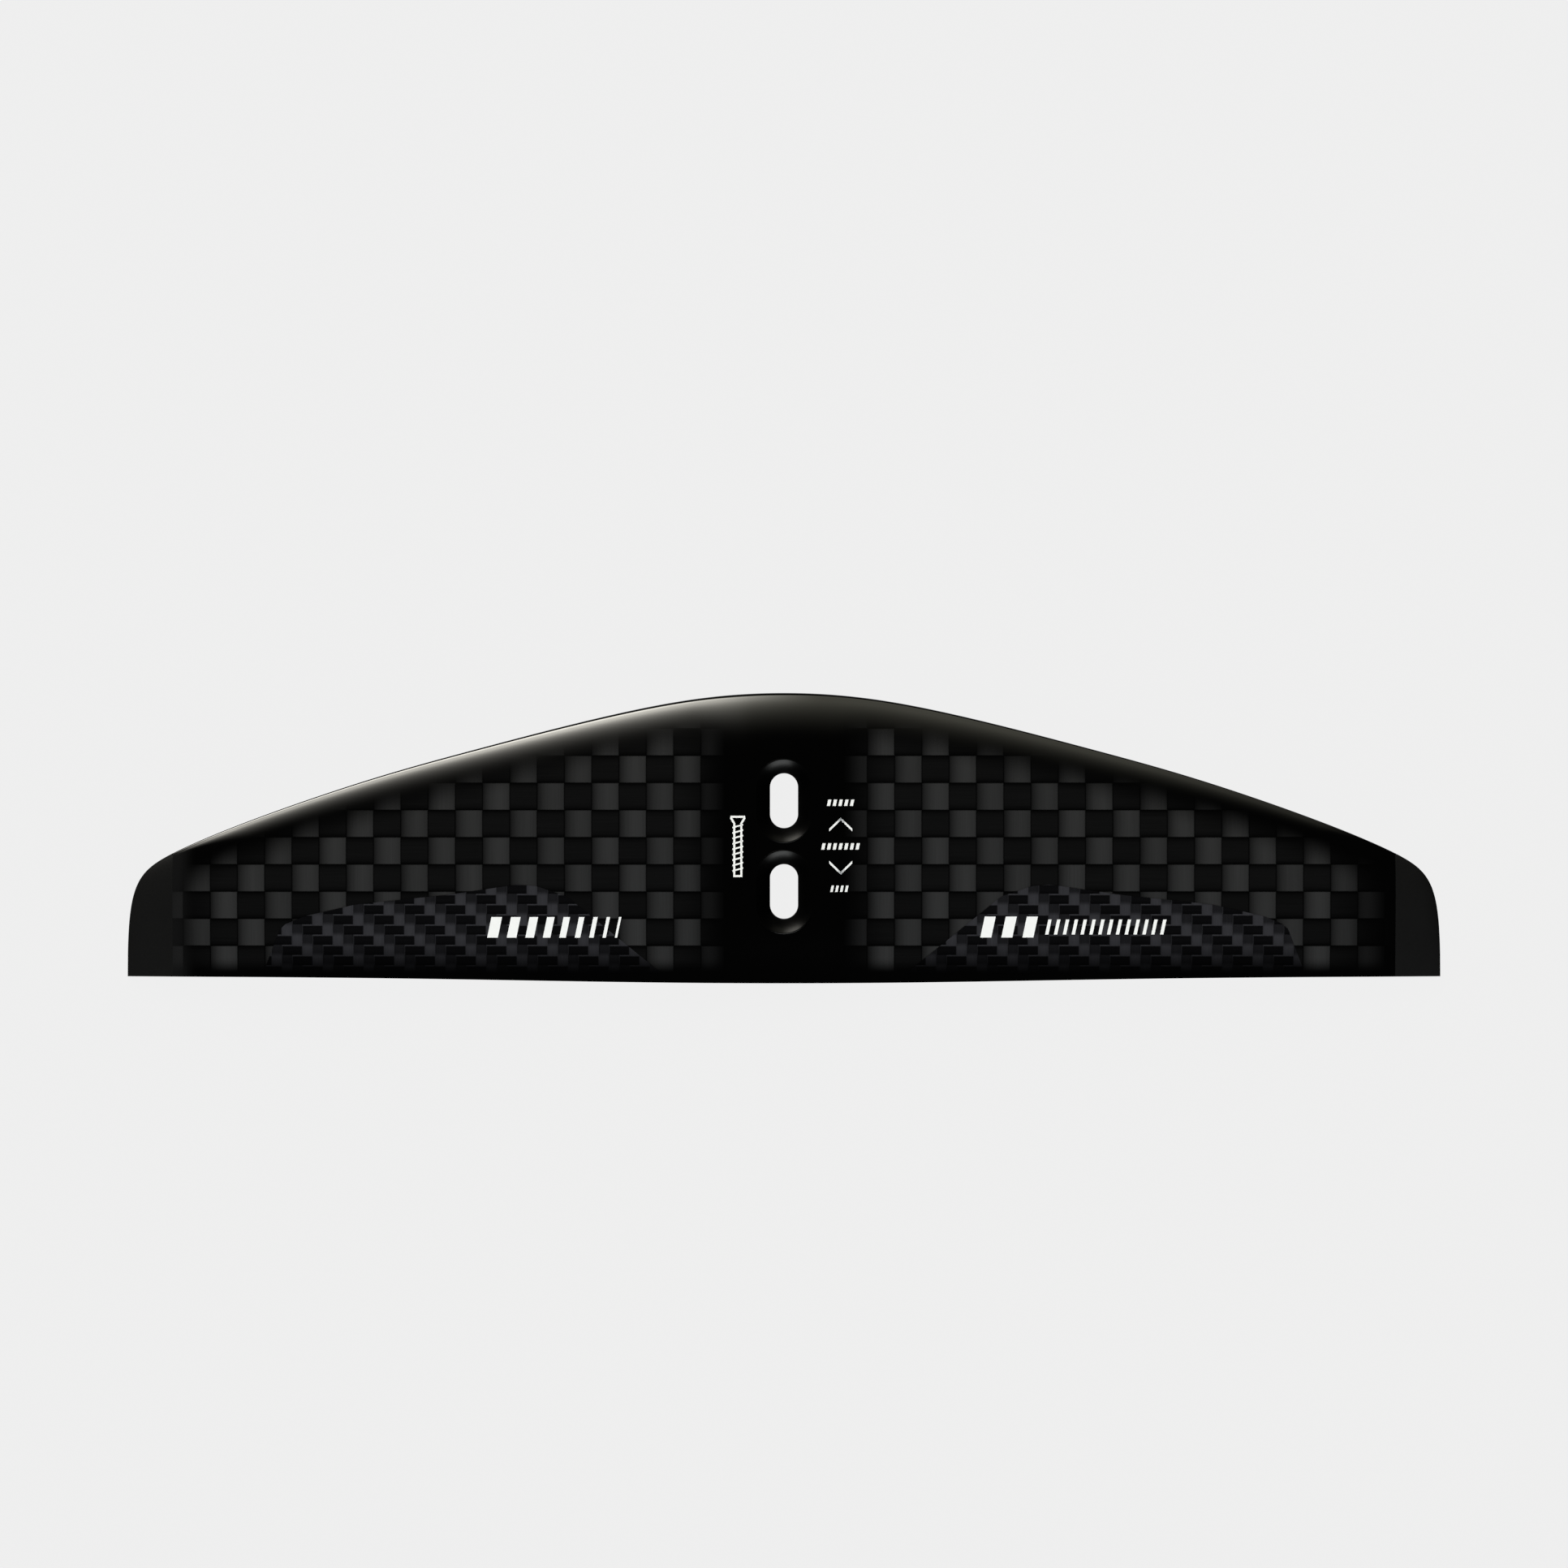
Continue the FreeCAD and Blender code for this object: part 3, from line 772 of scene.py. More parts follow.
@dataclass(frozen=True)
class SpreadTowWeave(Finish):
    """Plain weave of wide flat tows under clear resin, black at the hub and at the thin edge."""

    column_pitch: float = 8.16
    row_pitch: float = 8.13
    last_column: float = 179.9
    row_start: float = 2.68
    # Painted sheen: fore-and-aft tows get the light colour, spanwise tows the dark one.
    light: float = 0.0265
    dark: float = 0.0041
    black: float = 0.0005
    hub_fade: Point = (16.5, 33.0)
    tail_fade: Point = (-38.0, -33.0)
    # Painted shade: the weave darkens along the nose, over these distances behind it in mm.
    nose_fade: Point = (4.5, 16.0)
    tip_fade: Point = (189.0, 166.0)
    right_tip_shift: float = 6.5
    # Grey added to the weave's left end only, next to the left tip.
    left_haze: float = 0.0058
    haze_fade: Point = (-176.0, -182.0)
    tint: Colour = (1.0, 1.02, 1.08)

    def pattern(self, graph: Graph, x: Field, y: Field, z: Field) -> tuple[object, Field]:
        """Squares of fore-and-aft tows and of spanwise tows, each streaked along its fibres.

        The columns mirror about the middle, and the squares of the right half change places.
        """
        out = graph.maths("ABSOLUTE", x)
        u = (self.last_column - out) / self.column_pitch
        v = (y - self.row_start) / self.row_pitch
        column, row = graph.maths("FLOOR", u), graph.maths("FLOOR", v)
        right = graph.maths("GREATER_THAN", x, 0)
        spanwise = graph.maths("FLOORED_MODULO", column + row + right, 2)
        across = ((u - column) * 2 - 1) * (2 * right - 1) * -1
        along = (v - row) * 2 - 1
        side, end = graph.maths("ABSOLUTE", across), graph.maths("ABSOLUTE", along)
        streak_y = noise(graph, (x * 3.2, y * 0.05, 0), 1.0, 3.0)
        streak_x = noise(graph, (x * 0.05, y * 3.2, 7), 1.0, 3.0)
        # Painted highlight right of each fore-and-aft tow's middle, painted shade towards its
        # sides.
        lean = across - 0.25
        tone_y = self.light * (1 - 0.5 * lean * lean) * (0.8 + 0.4 * streak_y)
        tone_y = tone_y * (0.9 + 0.2 * lane(graph, column, 0.5))
        # Painted shade towards the front and back ends of each spanwise tow.
        tone_x = self.dark * (1 - 0.95 * end**4) * (0.6 + 0.8 * streak_x)
        tone_x = tone_x * (0.85 + 0.3 * lane(graph, row, 40.5))
        tone = tone_y + spanwise * (tone_x - tone_y)
        rim = graph.maths("MAXIMUM", side, end)
        tone = tone * (1 - 0.75 * graph.steps(rim, 0.92, 1.0))
        inset = graph.out(graph.add("ShaderNodeAttribute", attribute_name="inset"), "Fac")
        shown = graph.steps(out, *self.hub_fade)
        shown = shown * graph.steps(out + right * self.right_tip_shift, *self.tip_fade)
        # The nose term is painted shade along the nose; the tail term darkens the thin trailing
        # edge.
        shown = shown * graph.steps(inset, *self.nose_fade) * graph.steps(y, *self.tail_fade)
        # The base is black, with grey added near the left tip only.
        base = self.black + self.left_haze * graph.steps(x, *self.haze_fade)
        tone = base + (tone - base) * shown
        swell = 1 - (side * side + spanwise * (end * end - side * side))
        return graph.colour(*(tone * part for part in self.tint)), swell * shown


@dataclass(frozen=True)
class Twill(Finish):
    """Two by two twill under clear resin."""

    tow: float = 3.06
    # Painted sheen: fore-and-aft tows get the light colour, spanwise blocks the dark one.
    light: float = 0.031
    dark: float = 0.003
    black: float = 0.0005
    corner_x: float = 2.7
    corner_y: float = 1.07
    tail_fade: Point = (-38.5, -26.0)
    tint: Colour = (1.0, 1.01, 1.2)

    def pattern(self, graph: Graph, x: Field, y: Field, z: Field) -> tuple[object, Field]:
        """Diagonal steps of tows, two over and two under.

        A spanwise tow that lies on top is a dark block with a light line, a painted highlight,
        along its front. A fore-and-aft tow comes up from behind such a block in painted shade, dim
        at first and light further on, and is painted lighter than the spanwise tows as a painted
        sheen.
        """
        u = (x - self.corner_x) / self.tow
        v = (self.corner_y - y) / self.tow
        column, row = graph.maths("FLOOR", u), graph.maths("FLOOR", v)
        inside = graph.maths("ABSOLUTE", graph.maths("FLOORED_MODULO", u - row, 4) - 1)
        climb = graph.maths("FLOORED_MODULO", v - column - 1, 4)
        end = graph.maths("ABSOLUTE", (v - row) * 2 - 1)
        # Painted highlight: each block starts a little behind its row's front, leaving a light
        # line.
        block = graph.steps(inside, 1.04, 0.9) * graph.steps(v - row, 0.06, 0.2)
        side = graph.maths("ABSOLUTE", graph.maths("FRACT", u) * 2 - 1)
        fibres_y = noise(graph, (x * 5.5, y * 0.2, 3), 1.0, 3.0)
        fibres_x = noise(graph, (x * 0.2, y * 5.5, 9), 1.0, 3.0)
        # Painted shade behind each block: a fore-and-aft tow is dim where it comes out, light
        # further on.
        tone_y = self.light * (0.32 + 0.68 * graph.steps(climb, 0.7, 1.25))
        # Painted shade towards the sides of each fore-and-aft tow.
        tone_y = tone_y * (1 - 0.16 * side * side) * (0.7 + 0.6 * fibres_y)
        # Painted shade towards the front and back of each spanwise block.
        tone_x = self.dark * (1 - 0.5 * end * end) * (0.6 + 0.8 * fibres_x)
        tone = tone_y + block * (tone_x - tone_y)
        tone = self.black + (tone - self.black) * graph.steps(y, *self.tail_fade)
        return graph.colour(*(tone * part for part in self.tint)), block * (1 - end * end)


@dataclass(frozen=True)
class Plain(Finish):
    """One colour with fine, faint mottling, as on moulded or sprayed surfaces."""

    colour: Colour = (0.01, 0.01, 0.01)
    mottle: float = 0.25
    grain: float = 1.5

    def pattern(self, graph: Graph, x: Field, y: Field, z: Field) -> tuple[object, Field]:
        """Colour that wanders a little, and a faint orange peel."""
        cloud = noise(graph, (x, y, z), 0.08, 3.0)
        fine = noise(graph, (x, y, z), self.grain, 2.0)
        gain = 1 + self.mottle * (cloud + fine - 1)
        return graph.colour(*(gain * part for part in self.colour)), fine


@dataclass(frozen=True)
class Unidirectional(Finish):
    """Straight fibres along the span."""

    colour: Colour = (0.02, 0.02, 0.021)

    def pattern(self, graph: Graph, x: Field, y: Field, z: Field) -> tuple[object, Field]:
        """Long streaks along X."""
        fibres = noise(graph, (x * 0.03, y * 4, z * 4), 1.0, 4.0)
        bands = noise(graph, (x * 0.01, y * 0.6, z * 0.6), 1.0, 1.0)
        gain = 0.4 + 0.9 * fibres + 0.4 * bands
        return graph.colour(*(gain * part for part in self.colour)), fibres


@dataclass(frozen=True)
class Laminate(Finish):
    """Stacked plies, cut and ground, whose edges show as thin lines."""

    colour: Colour = (0.012, 0.012, 0.0125)
    ply: float = 0.25

    def pattern(self, graph: Graph, x: Field, y: Field, z: Field) -> tuple[object, Field]:
        """Lines across Z, with grinding marks along Y on the flats."""
        level = z / self.ply
        line = graph.maths("ABSOLUTE", (level - graph.maths("FLOOR", level)) * 2 - 1)
        marks = noise(graph, (x * 6, y * 0.4, z * 2), 1.0, 3.0)
        gain = (0.7 + 0.6 * marks) * (1 - 0.35 * line**3)
        return graph.colour(*(gain * part for part in self.colour)), marks


@dataclass(frozen=True)
class Foam(Finish):
    """Closed-cell structural foam."""

    colour: Colour = (0.62, 0.55, 0.34)
    cell: float = 0.6

    def pattern(self, graph: Graph, x: Field, y: Field, z: Field) -> tuple[object, Field]:
        """Cells with darker walls."""
        spot = {"Vector": graph.vector(x, y, z), "Scale": 1 / self.cell}
        cells = graph.add("ShaderNodeTexVoronoi", spot)
        wall = graph.steps(graph.out(cells, "Distance"), 0.7, 0.2)
        cloud = noise(graph, (x, y, z), 0.1, 2.0)
        gain = 0.72 + 0.2 * wall + 0.16 * cloud
        return graph.colour(*(gain * part for part in self.colour)), wall


class Finishes:
    """Every finish of the wing, made once."""

    def __init__(self) -> None:
        """Builds the materials."""
        glossy = {"coat": 1.0, "coat_roughness": 0.07, "roughness": 0.6, "specular": 0.0}
        self.weave = SpreadTowWeave("clear coated plain weave", **glossy).build()
        self.twill = Twill("clear coated twill", **glossy).build()
        self.hub = Plain("gloss black ply", colour=(0.0005,) * 3, bump=0, **glossy).build()
        satin = {"roughness": 0.42, "specular": 0.05, "bump": 0.004 * MM}
        self.tip = Plain("satin tip", colour=(0.0067, 0.0068, 0.0071), **satin).build()
        liner = {"roughness": 0.3, "specular": 0.065, "bump": 0.003 * MM}
        self.liner = Plain("satin black liner", colour=(0.0006,) * 3, **liner).build()
        self.ink = Plain(
            "white print", colour=(0.93, 0.95, 0.98), mottle=0.03, roughness=0.6, bump=0.002 * MM
        ).build()
        self.fibres = Unidirectional("unidirectional carbon", roughness=0.35).build()
        self.laminate = Laminate("ground laminate", roughness=0.45).build()
        self.foam = Foam("closed-cell foam", roughness=0.85, bump=0.1 * MM).build()


# ---------------------------------------------------------------- the wing's pieces


@dataclass
class Shells:
    """Skins, plies and tips: every shell that follows the wing's own form."""

    plan: PlanForm = field(default_factory=PlanForm)
    section: Section = field(default_factory=Section)
    tip_length: float = 13.8 * MM
    tip_land: float = 0.05 * MM
    pitch: float = 1.7 * MM
    chord_steps: int = 96

    def stations(self, name: str, limits: Sequence[tuple[float, float, float]]) -> bpy.types.Object:
        """Line of stations with the attributes that a shell's tree reads.

        Args:
            name: the piece's name.
            limits: for each section its X and the shares of its chord that the piece covers.

        Returns:
            An object whose mesh is the line.
        """
        made = new_object(name, [Vector((x, 0, 0)) for x, _, _ in limits])
        columns = {
            "station": [x for x, _, _ in limits],
            "front": [self.plan.front(x) for x, _, _ in limits],
            "back": [self.plan.back(x) for x, _, _ in limits],
            "first": [first for _, first, _ in limits],
            "last": [last for _, _, last in limits],
        }
        for attribute, values in columns.items():
            store(made.data, attribute, values)
        return made

    def shell(
        self,
        name: str,
        layer: Layer,
        limits: Sequence[tuple[float, float, float]],
        finish: bpy.types.Material,
        cutter: bpy.types.Object | None = None,
        recess: bpy.types.Object | None = None,
    ) -> bpy.types.Object:
        """One shell of the wing.

        Args:
            name: the piece's name.
            layer: which surfaces bound it.
            limits: its sections, as for stations().
            finish: its material.
            cutter: solid that is taken away from it.
            recess: another solid that is taken away.

        Returns:
            The piece.
        """
        values = {
            "Chord steps": self.chord_steps,
            "Finish": finish,
            "Cutter": cutter,
            "Recess": recess,
            **asdict(self.section),
        }
        return ShellTree(layer, self.section).run(self.stations(name, limits), values)

    def whole_chord(self, first: float, last: float) -> list[tuple[float, float, float]]:
        """Sections from first to last that cover their whole chord."""
        if abs(first) > abs(last):
            return [(-x, a, b) for x, a, b in reversed(self.whole_chord(-last, -first))]
        return [(x, 0.0, 1.0) for x in self.plan.along(first, last, self.pitch)]


@dataclass
class Hub:
    """Slot liners, the black ply around them, and the cutters that make room for them."""

    slot_radius: float = 4.2 * MM
    slot_straight: float = 8.0 * MM
    slot_pitch: float = 27.2 * MM
    sink_radius: float = 8.3 * MM
    lip: float = 0.3 * MM
    lip_depth: float = 0.5 * MM
    wall: float = 1.0 * MM
    top: float = 10.0 * MM
    edge_break: float = 0.12 * MM
    ring_steps: int = 96
    seat_corner: float = 4.0 * MM
    seat_room_gap: float = 0.04 * MM
    corner_steps: int = 12
    cut_reach: Point = (-5.0 * MM, 15.0 * MM)
    skin_room: float = 0.05 * MM
    ply_chord: Point = (0.02, 0.985)

    def outlines(self) -> dict[str, SlotOutline]:
        """The front and the rear slot."""
        half = self.slot_pitch / 2
        return {
            "front": SlotOutline(half, self.slot_straight),
            "rear": SlotOutline(-half, self.slot_straight),
        }

    def profile(self) -> list[Point]:
        """Section of a liner: radius and height of each corner, round its closed outline."""
        sleeve = self.slot_radius + self.wall
        throat = self.top - self.sink_radius + self.slot_radius
        rim = self.sink_radius + self.lip
        shoulder = self.top - self.lip_depth
        ease = self.edge_break
        return [
            (self.slot_radius, ease),
            (self.slot_radius, throat - ease),
            (self.slot_radius + ease / 2, throat + ease / 2),
            (self.sink_radius - ease / 2, self.top - ease / 2),
            (self.sink_radius + ease / 2, self.top),
            (rim - ease / 2, self.top),
            (rim, self.top - ease / 2),
            (rim, shoulder),
            (sleeve, shoulder - rim + sleeve),
            (sleeve, 0.0),
            (self.slot_radius + ease, 0.0),
        ]

    def liner(
        self, name: str, outline: SlotOutline, finish: bpy.types.Material
    ) -> bpy.types.Object:
        """One slot liner, swept round its slot.

        Args:
            name: the piece's name.
            outline: the slot.
            finish: its material.

        Returns:
            The piece.
        """
        corners = self.profile()
        corners.append(corners[0])
        made = new_object(name, [Vector((radius, 0, height)) for radius, height in corners])
        values = {
            "Ring steps": self.ring_steps,
            "Straight": outline.straight,
            "Centre": outline.centre,
            "Finish": finish,
        }
        return SweepTree().run(made, values)

    def cutter(self, radius: float) -> bpy.types.Object:
        """Two slot-shaped solids that reach past both faces of the wing."""
        rings = []
        for outline in self.outlines().values():
            rings += [outline.ring(radius, height) for height in self.cut_reach]
        return prism("cutter", rings)

    def seat_room(self) -> bpy.types.Object:
        """Solid with the rounded outline of the seat plate and a hair of room round it."""
        low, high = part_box("seat_plate")
        radius = self.seat_corner + self.seat_room_gap
        reach_x, reach_y = high[0] - self.seat_corner, high[1] - self.seat_corner
        ring = []
        for k in range(4 * self.corner_steps):
            angle = (k + 0.5) * math.tau / (4 * self.corner_steps)
            x = math.copysign(reach_x, math.cos(angle)) + radius * math.cos(angle)
            y = math.copysign(reach_y, math.sin(angle)) + radius * math.sin(angle)
            ring.append((x, y))
        ends = (low[2] - self.seat_corner, high[2] + self.seat_room_gap)
        return prism("seat room", [[Vector((x, y, z)) for x, y in ring] for z in ends])


class SweepTree(TreeMaker):
    """Geometry Nodes tree that sweeps a closed section round a slot."""

    def __init__(self) -> None:
        """Writes the tree."""
        kinds = {"Ring steps": "Int", "Straight": "Float", "Centre": "Float"}
        super().__init__("slot sweep", kinds)
        self._nodes()

    def _nodes(self) -> None:
        """Writes the nodes: a grid of section by angle, bent round the slot and closed."""
        graph = self.graph
        section, steps = self.inputs.outputs["Points"], self.given("Ring steps")
        corners = graph.count(section)
        grid = graph.grid(corners, steps + 1)
        across, along, _ = graph.here()
        corner = graph.maths("ROUND", (across + 0.5) * (corners - 1))
        place = graph.add("GeometryNodeInputPosition").outputs[0]
        sampled = graph.sample(section, place, corner, "FLOAT_VECTOR")
        radius, _, height = graph.parts(sampled.outputs[0])
        angle = ((along + 0.5) + 0.5 / steps) * math.tau
        sine, cosine = graph.maths("SINE", angle), graph.maths("COSINE", angle)
        shift = graph.maths("SIGN", sine) * self.given("Straight") / 2
        y = self.given("Centre") + shift + radius * sine
        bent = graph.close(graph.move(grid, graph.vector(radius * cosine, y, height)))
        smooth = graph.add("GeometryNodeSetShadeSmooth", {"Geometry": bent})
        graph.deliver(smooth.outputs[0], self.inputs.outputs["Finish"])


@dataclass
class Patch:
    """Twill ply at the back of one half: its outline in shares of half span and root chord."""

    front_edge: tuple[Point, ...] = (
        (0.186, 0.965),
        (0.330, 0.700),
        (0.376, 0.665),
        (0.404, 0.659),
        (0.508, 0.694),
        (0.650, 0.728),
        (0.728, 0.768),
        (0.764, 0.802),
        (0.792, 0.965),
    )
    back_edge: float = 0.965

    def limits(self, plan: PlanForm, flip: int, pitch: float) -> list[tuple[float, float, float]]:
        """Sections of the patch on one half.

        Args:
            plan: the wing's outline.
            flip: 1 for the right half, -1 for the left.
            pitch: distance between sections.

        Returns:
            X of each section, and the shares of the chord where the patch begins and ends.
        """
        start, end = self.front_edge[0][0], self.front_edge[-1][0]
        count = int((end - start) * plan.half_span / pitch)
        made = []
        for k in range(count + 1):
            along = start + (end - start) * k / count
            x = along * plan.half_span
            front = plan.root_front - self.front_share(along) * plan.root_chord
            back = plan.root_front - self.back_edge * plan.root_chord
            last = plan.share(x, back)
            made.append((flip * x, min(plan.share(x, front), last), last))
        return sorted(made)

    def front_share(self, along: float) -> float:
        """Front edge of the patch at a share of the half span."""
        for (low, first), (high, last) in zip(self.front_edge, self.front_edge[1:]):
            if along <= high:
                return first + (last - first) * (along - low) / (high - low)
        return self.front_edge[-1][1]


@dataclass(frozen=True)
class Bar:
    """One stroke of a print, in millimetres.

    It is as wide along X and as tall along Y as it says. slant moves its front end to the right,
    and rise moves its right end forwards, each per millimetre.
    """

    x: float
    y: float
    wide: float
    tall: float
    slant: float = 0.0
    rise: float = 0.0


def ticks(
    first: float, last: float, y: float, count: int, wide: float, tall: float, end: float = 0.0
) -> list[Bar]:
    """Row of slanted strokes from first to last, with equal room between them.

    Args:
        first: left end of the row.
        last: right end of the row.
        y: its middle.
        count: how many strokes there are.
        wide: width of the first stroke.
        tall: length of each stroke.
        end: width of the last stroke, where the widths change evenly.

    Returns:
        The strokes.
    """
    widths = [wide + ((end or wide) - wide) * k / (count - 1) for k in range(count)]
    gap = (last - first - sum(widths)) / (count - 1)
    bars = []
    for width in widths:
        bars.append(Bar(first + width / 2, y, width, tall, 0.21))
        first += width + gap
    return bars


def chevron(x: float, y: float, half_width: float, height: float, stroke: float) -> list[Bar]:
    """Two strokes that meet in a point, ahead of their ends where height is positive."""
    rise = height / half_width
    tall = stroke * math.hypot(1, rise)
    return [
        Bar(x + side * half_width / 2, y, half_width, tall, 0.0, -side * rise) for side in (-1, 1)
    ]


def screw_sign(x: float, front: float, back: float, stroke: float) -> list[Bar]:
    """Outline of a countersunk screw, seen from its side with the head in front."""
    head, neck, sink, turns, overhang, twist = 2.2, 1.05, 1.5, 10, 1.1, 0.28
    shank = front - stroke - sink
    bars = [Bar(x, front - stroke / 2, 2 * head, stroke)]
    slope = (head - neck - stroke / 2) / sink
    for side in (-1, 1):
        bars.append(
            Bar(x + side * (head + neck) / 2, shank + sink / 2, stroke * 1.2, sink, side * slope)
        )
        bars.append(Bar(x + side * neck, (shank + back) / 2, stroke, shank - back))
    bars.append(Bar(x, back + stroke / 2, 2 * neck, stroke))
    pitch = (shank - back) / turns
    wide = 2 * neck + overhang
    for k in range(1, turns):
        bars.append(Bar(x, back + pitch * (k + 0.4), wide, stroke * 0.8, 0.0, twist))
    return bars


class PrintTree(TreeMaker):
    """Geometry Nodes tree that turns points into strokes of ink lying on the wing.

    Each point is the middle of one stroke. Its attributes wide, tall, slant and rise give the
    stroke's form, and middle_x and middle_y repeat its place.
    """

    look_from = 50 * MM

    def __init__(self) -> None:
        """Writes the tree."""
        kinds = {"Skin": "Object", "Ply": "Object", "Cells": "Int"}
        super().__init__("print", {**kinds, "Lift": "Float", "Thickness": "Float"})
        self._nodes()

    def _nodes(self) -> None:
        """Writes the nodes: strokes on the points, laid on the surface and made solid."""
        graph, given = self.graph, self.inputs.outputs
        unit = graph.grid(self.given("Cells"), self.given("Cells"))
        size = graph.vector(graph.named("wide"), graph.named("tall"), 1.0)
        values = {"Points": given["Points"], "Instance": unit, "Scale": size}
        placed = graph.add("GeometryNodeInstanceOnPoints", values)
        strokes = graph.add("GeometryNodeRealizeInstances", {0: placed.outputs[0]})
        x, y, _ = graph.here()
        lean = graph.named("slant") * (y - graph.named("middle_y"))
        lift = graph.named("rise") * (x - graph.named("middle_x"))
        flat = graph.move(strokes.outputs[0], graph.vector(x + lean, y + lift, 0.0))
        level = graph.maths("MAXIMUM", self._height(given["Skin"]), self._height(given["Ply"]))
        x, y, _ = graph.here()
        draped = graph.move(flat, graph.vector(x, y, level + self.given("Lift")))
        raised = graph.extrude(draped, self.given("Thickness"))
        closed = graph.close(raised.outputs["Mesh"], graph.turned(draped))
        graph.deliver(closed, given["Finish"])

    def _height(self, surface: bpy.types.NodeSocket) -> Field:
        """Height of an object's upper face over or under each point, or zero off its edge."""
        graph = self.graph
        target = graph.add("GeometryNodeObjectInfo", {"Object": surface}).outputs["Geometry"]
        x, y, _ = graph.here()
        above = graph.vector(x, y, self.look_from)
        ray = graph.add(
            "GeometryNodeRaycast", {"Target Geometry": target, "Source Position": above}
        )
        graph.feed(ray.inputs["Ray Direction"], (0, 0, -1))
        graph.feed(ray.inputs["Ray Length"], 2 * self.look_from)
        _, _, height = graph.parts(ray.outputs["Hit Position"])
        return height * graph.out(ray, "Is Hit")


@dataclass
class Prints:
    """White prints on the top: plain strokes and signs, in millimetres."""

    stroke: float = 0.6
    cells: int = 4
    lift: float = 0.008 * MM
    thickness: float = 0.04 * MM

    def marks(self) -> dict[str, tuple[str, list[Bar]]]:
        """Name of each print, with the piece that it lies on and its strokes."""
        scale = ticks(13.0, 20.8, 13.0, 5, 0.95, 1.9)
        scale += chevron(16.95, 6.5, 3.45, 3.3, self.stroke)
        scale += ticks(11.3, 22.5, -0.05, 7, 0.95, 1.9)
        scale += chevron(16.95, -6.4, 3.45, -3.3, self.stroke)
        scale += ticks(14.0, 19.1, -12.7, 4, 0.75, 1.9)
        left = ticks(-88.2, -49.3, -24.3, 9, 3.2, 6.2, 0.7)
        right = ticks(59.4, 75.3, -24.2, 3, 3.3, 6.3)
        right += ticks(78.6, 114.0, -24.2, 14, 1.0, 4.5)
        sign = screw_sign(-13.8, 9.1, -9.2, self.stroke)
        return {
            "trim_scale": ("hub_ply", scale),
            "screw_sign": ("hub_ply", sign),
            "left_strokes": ("left_twill", left),
            "right_strokes": ("right_twill", right),
        }

    def lay(
        self, name: str, ply: str, bars: Sequence[Bar], finish: bpy.types.Material
    ) -> bpy.types.Object:
        """One print.

        Args:
            name: the piece's name.
            ply: the ply that it lies on.
            bars: its strokes.
            finish: its material.

        Returns:
            The piece.
        """
        made = new_object(name, [Vector((bar.x, bar.y, 0)) * MM for bar in bars])
        for attribute in ("wide", "tall", "slant", "rise"):
            scale = MM if attribute in ("wide", "tall") else 1
            store(made.data, attribute, [getattr(bar, attribute) * scale for bar in bars])
        store(made.data, "middle_x", [bar.x * MM for bar in bars])
        store(made.data, "middle_y", [bar.y * MM for bar in bars])
        values = {
            "Skin": bpy.data.objects["upper_skin"],
            "Ply": bpy.data.objects[ply],
            "Cells": self.cells,
            "Lift": self.lift,
            "Thickness": self.thickness,
            "Finish": finish,
        }
        return PrintTree().run(made, values)


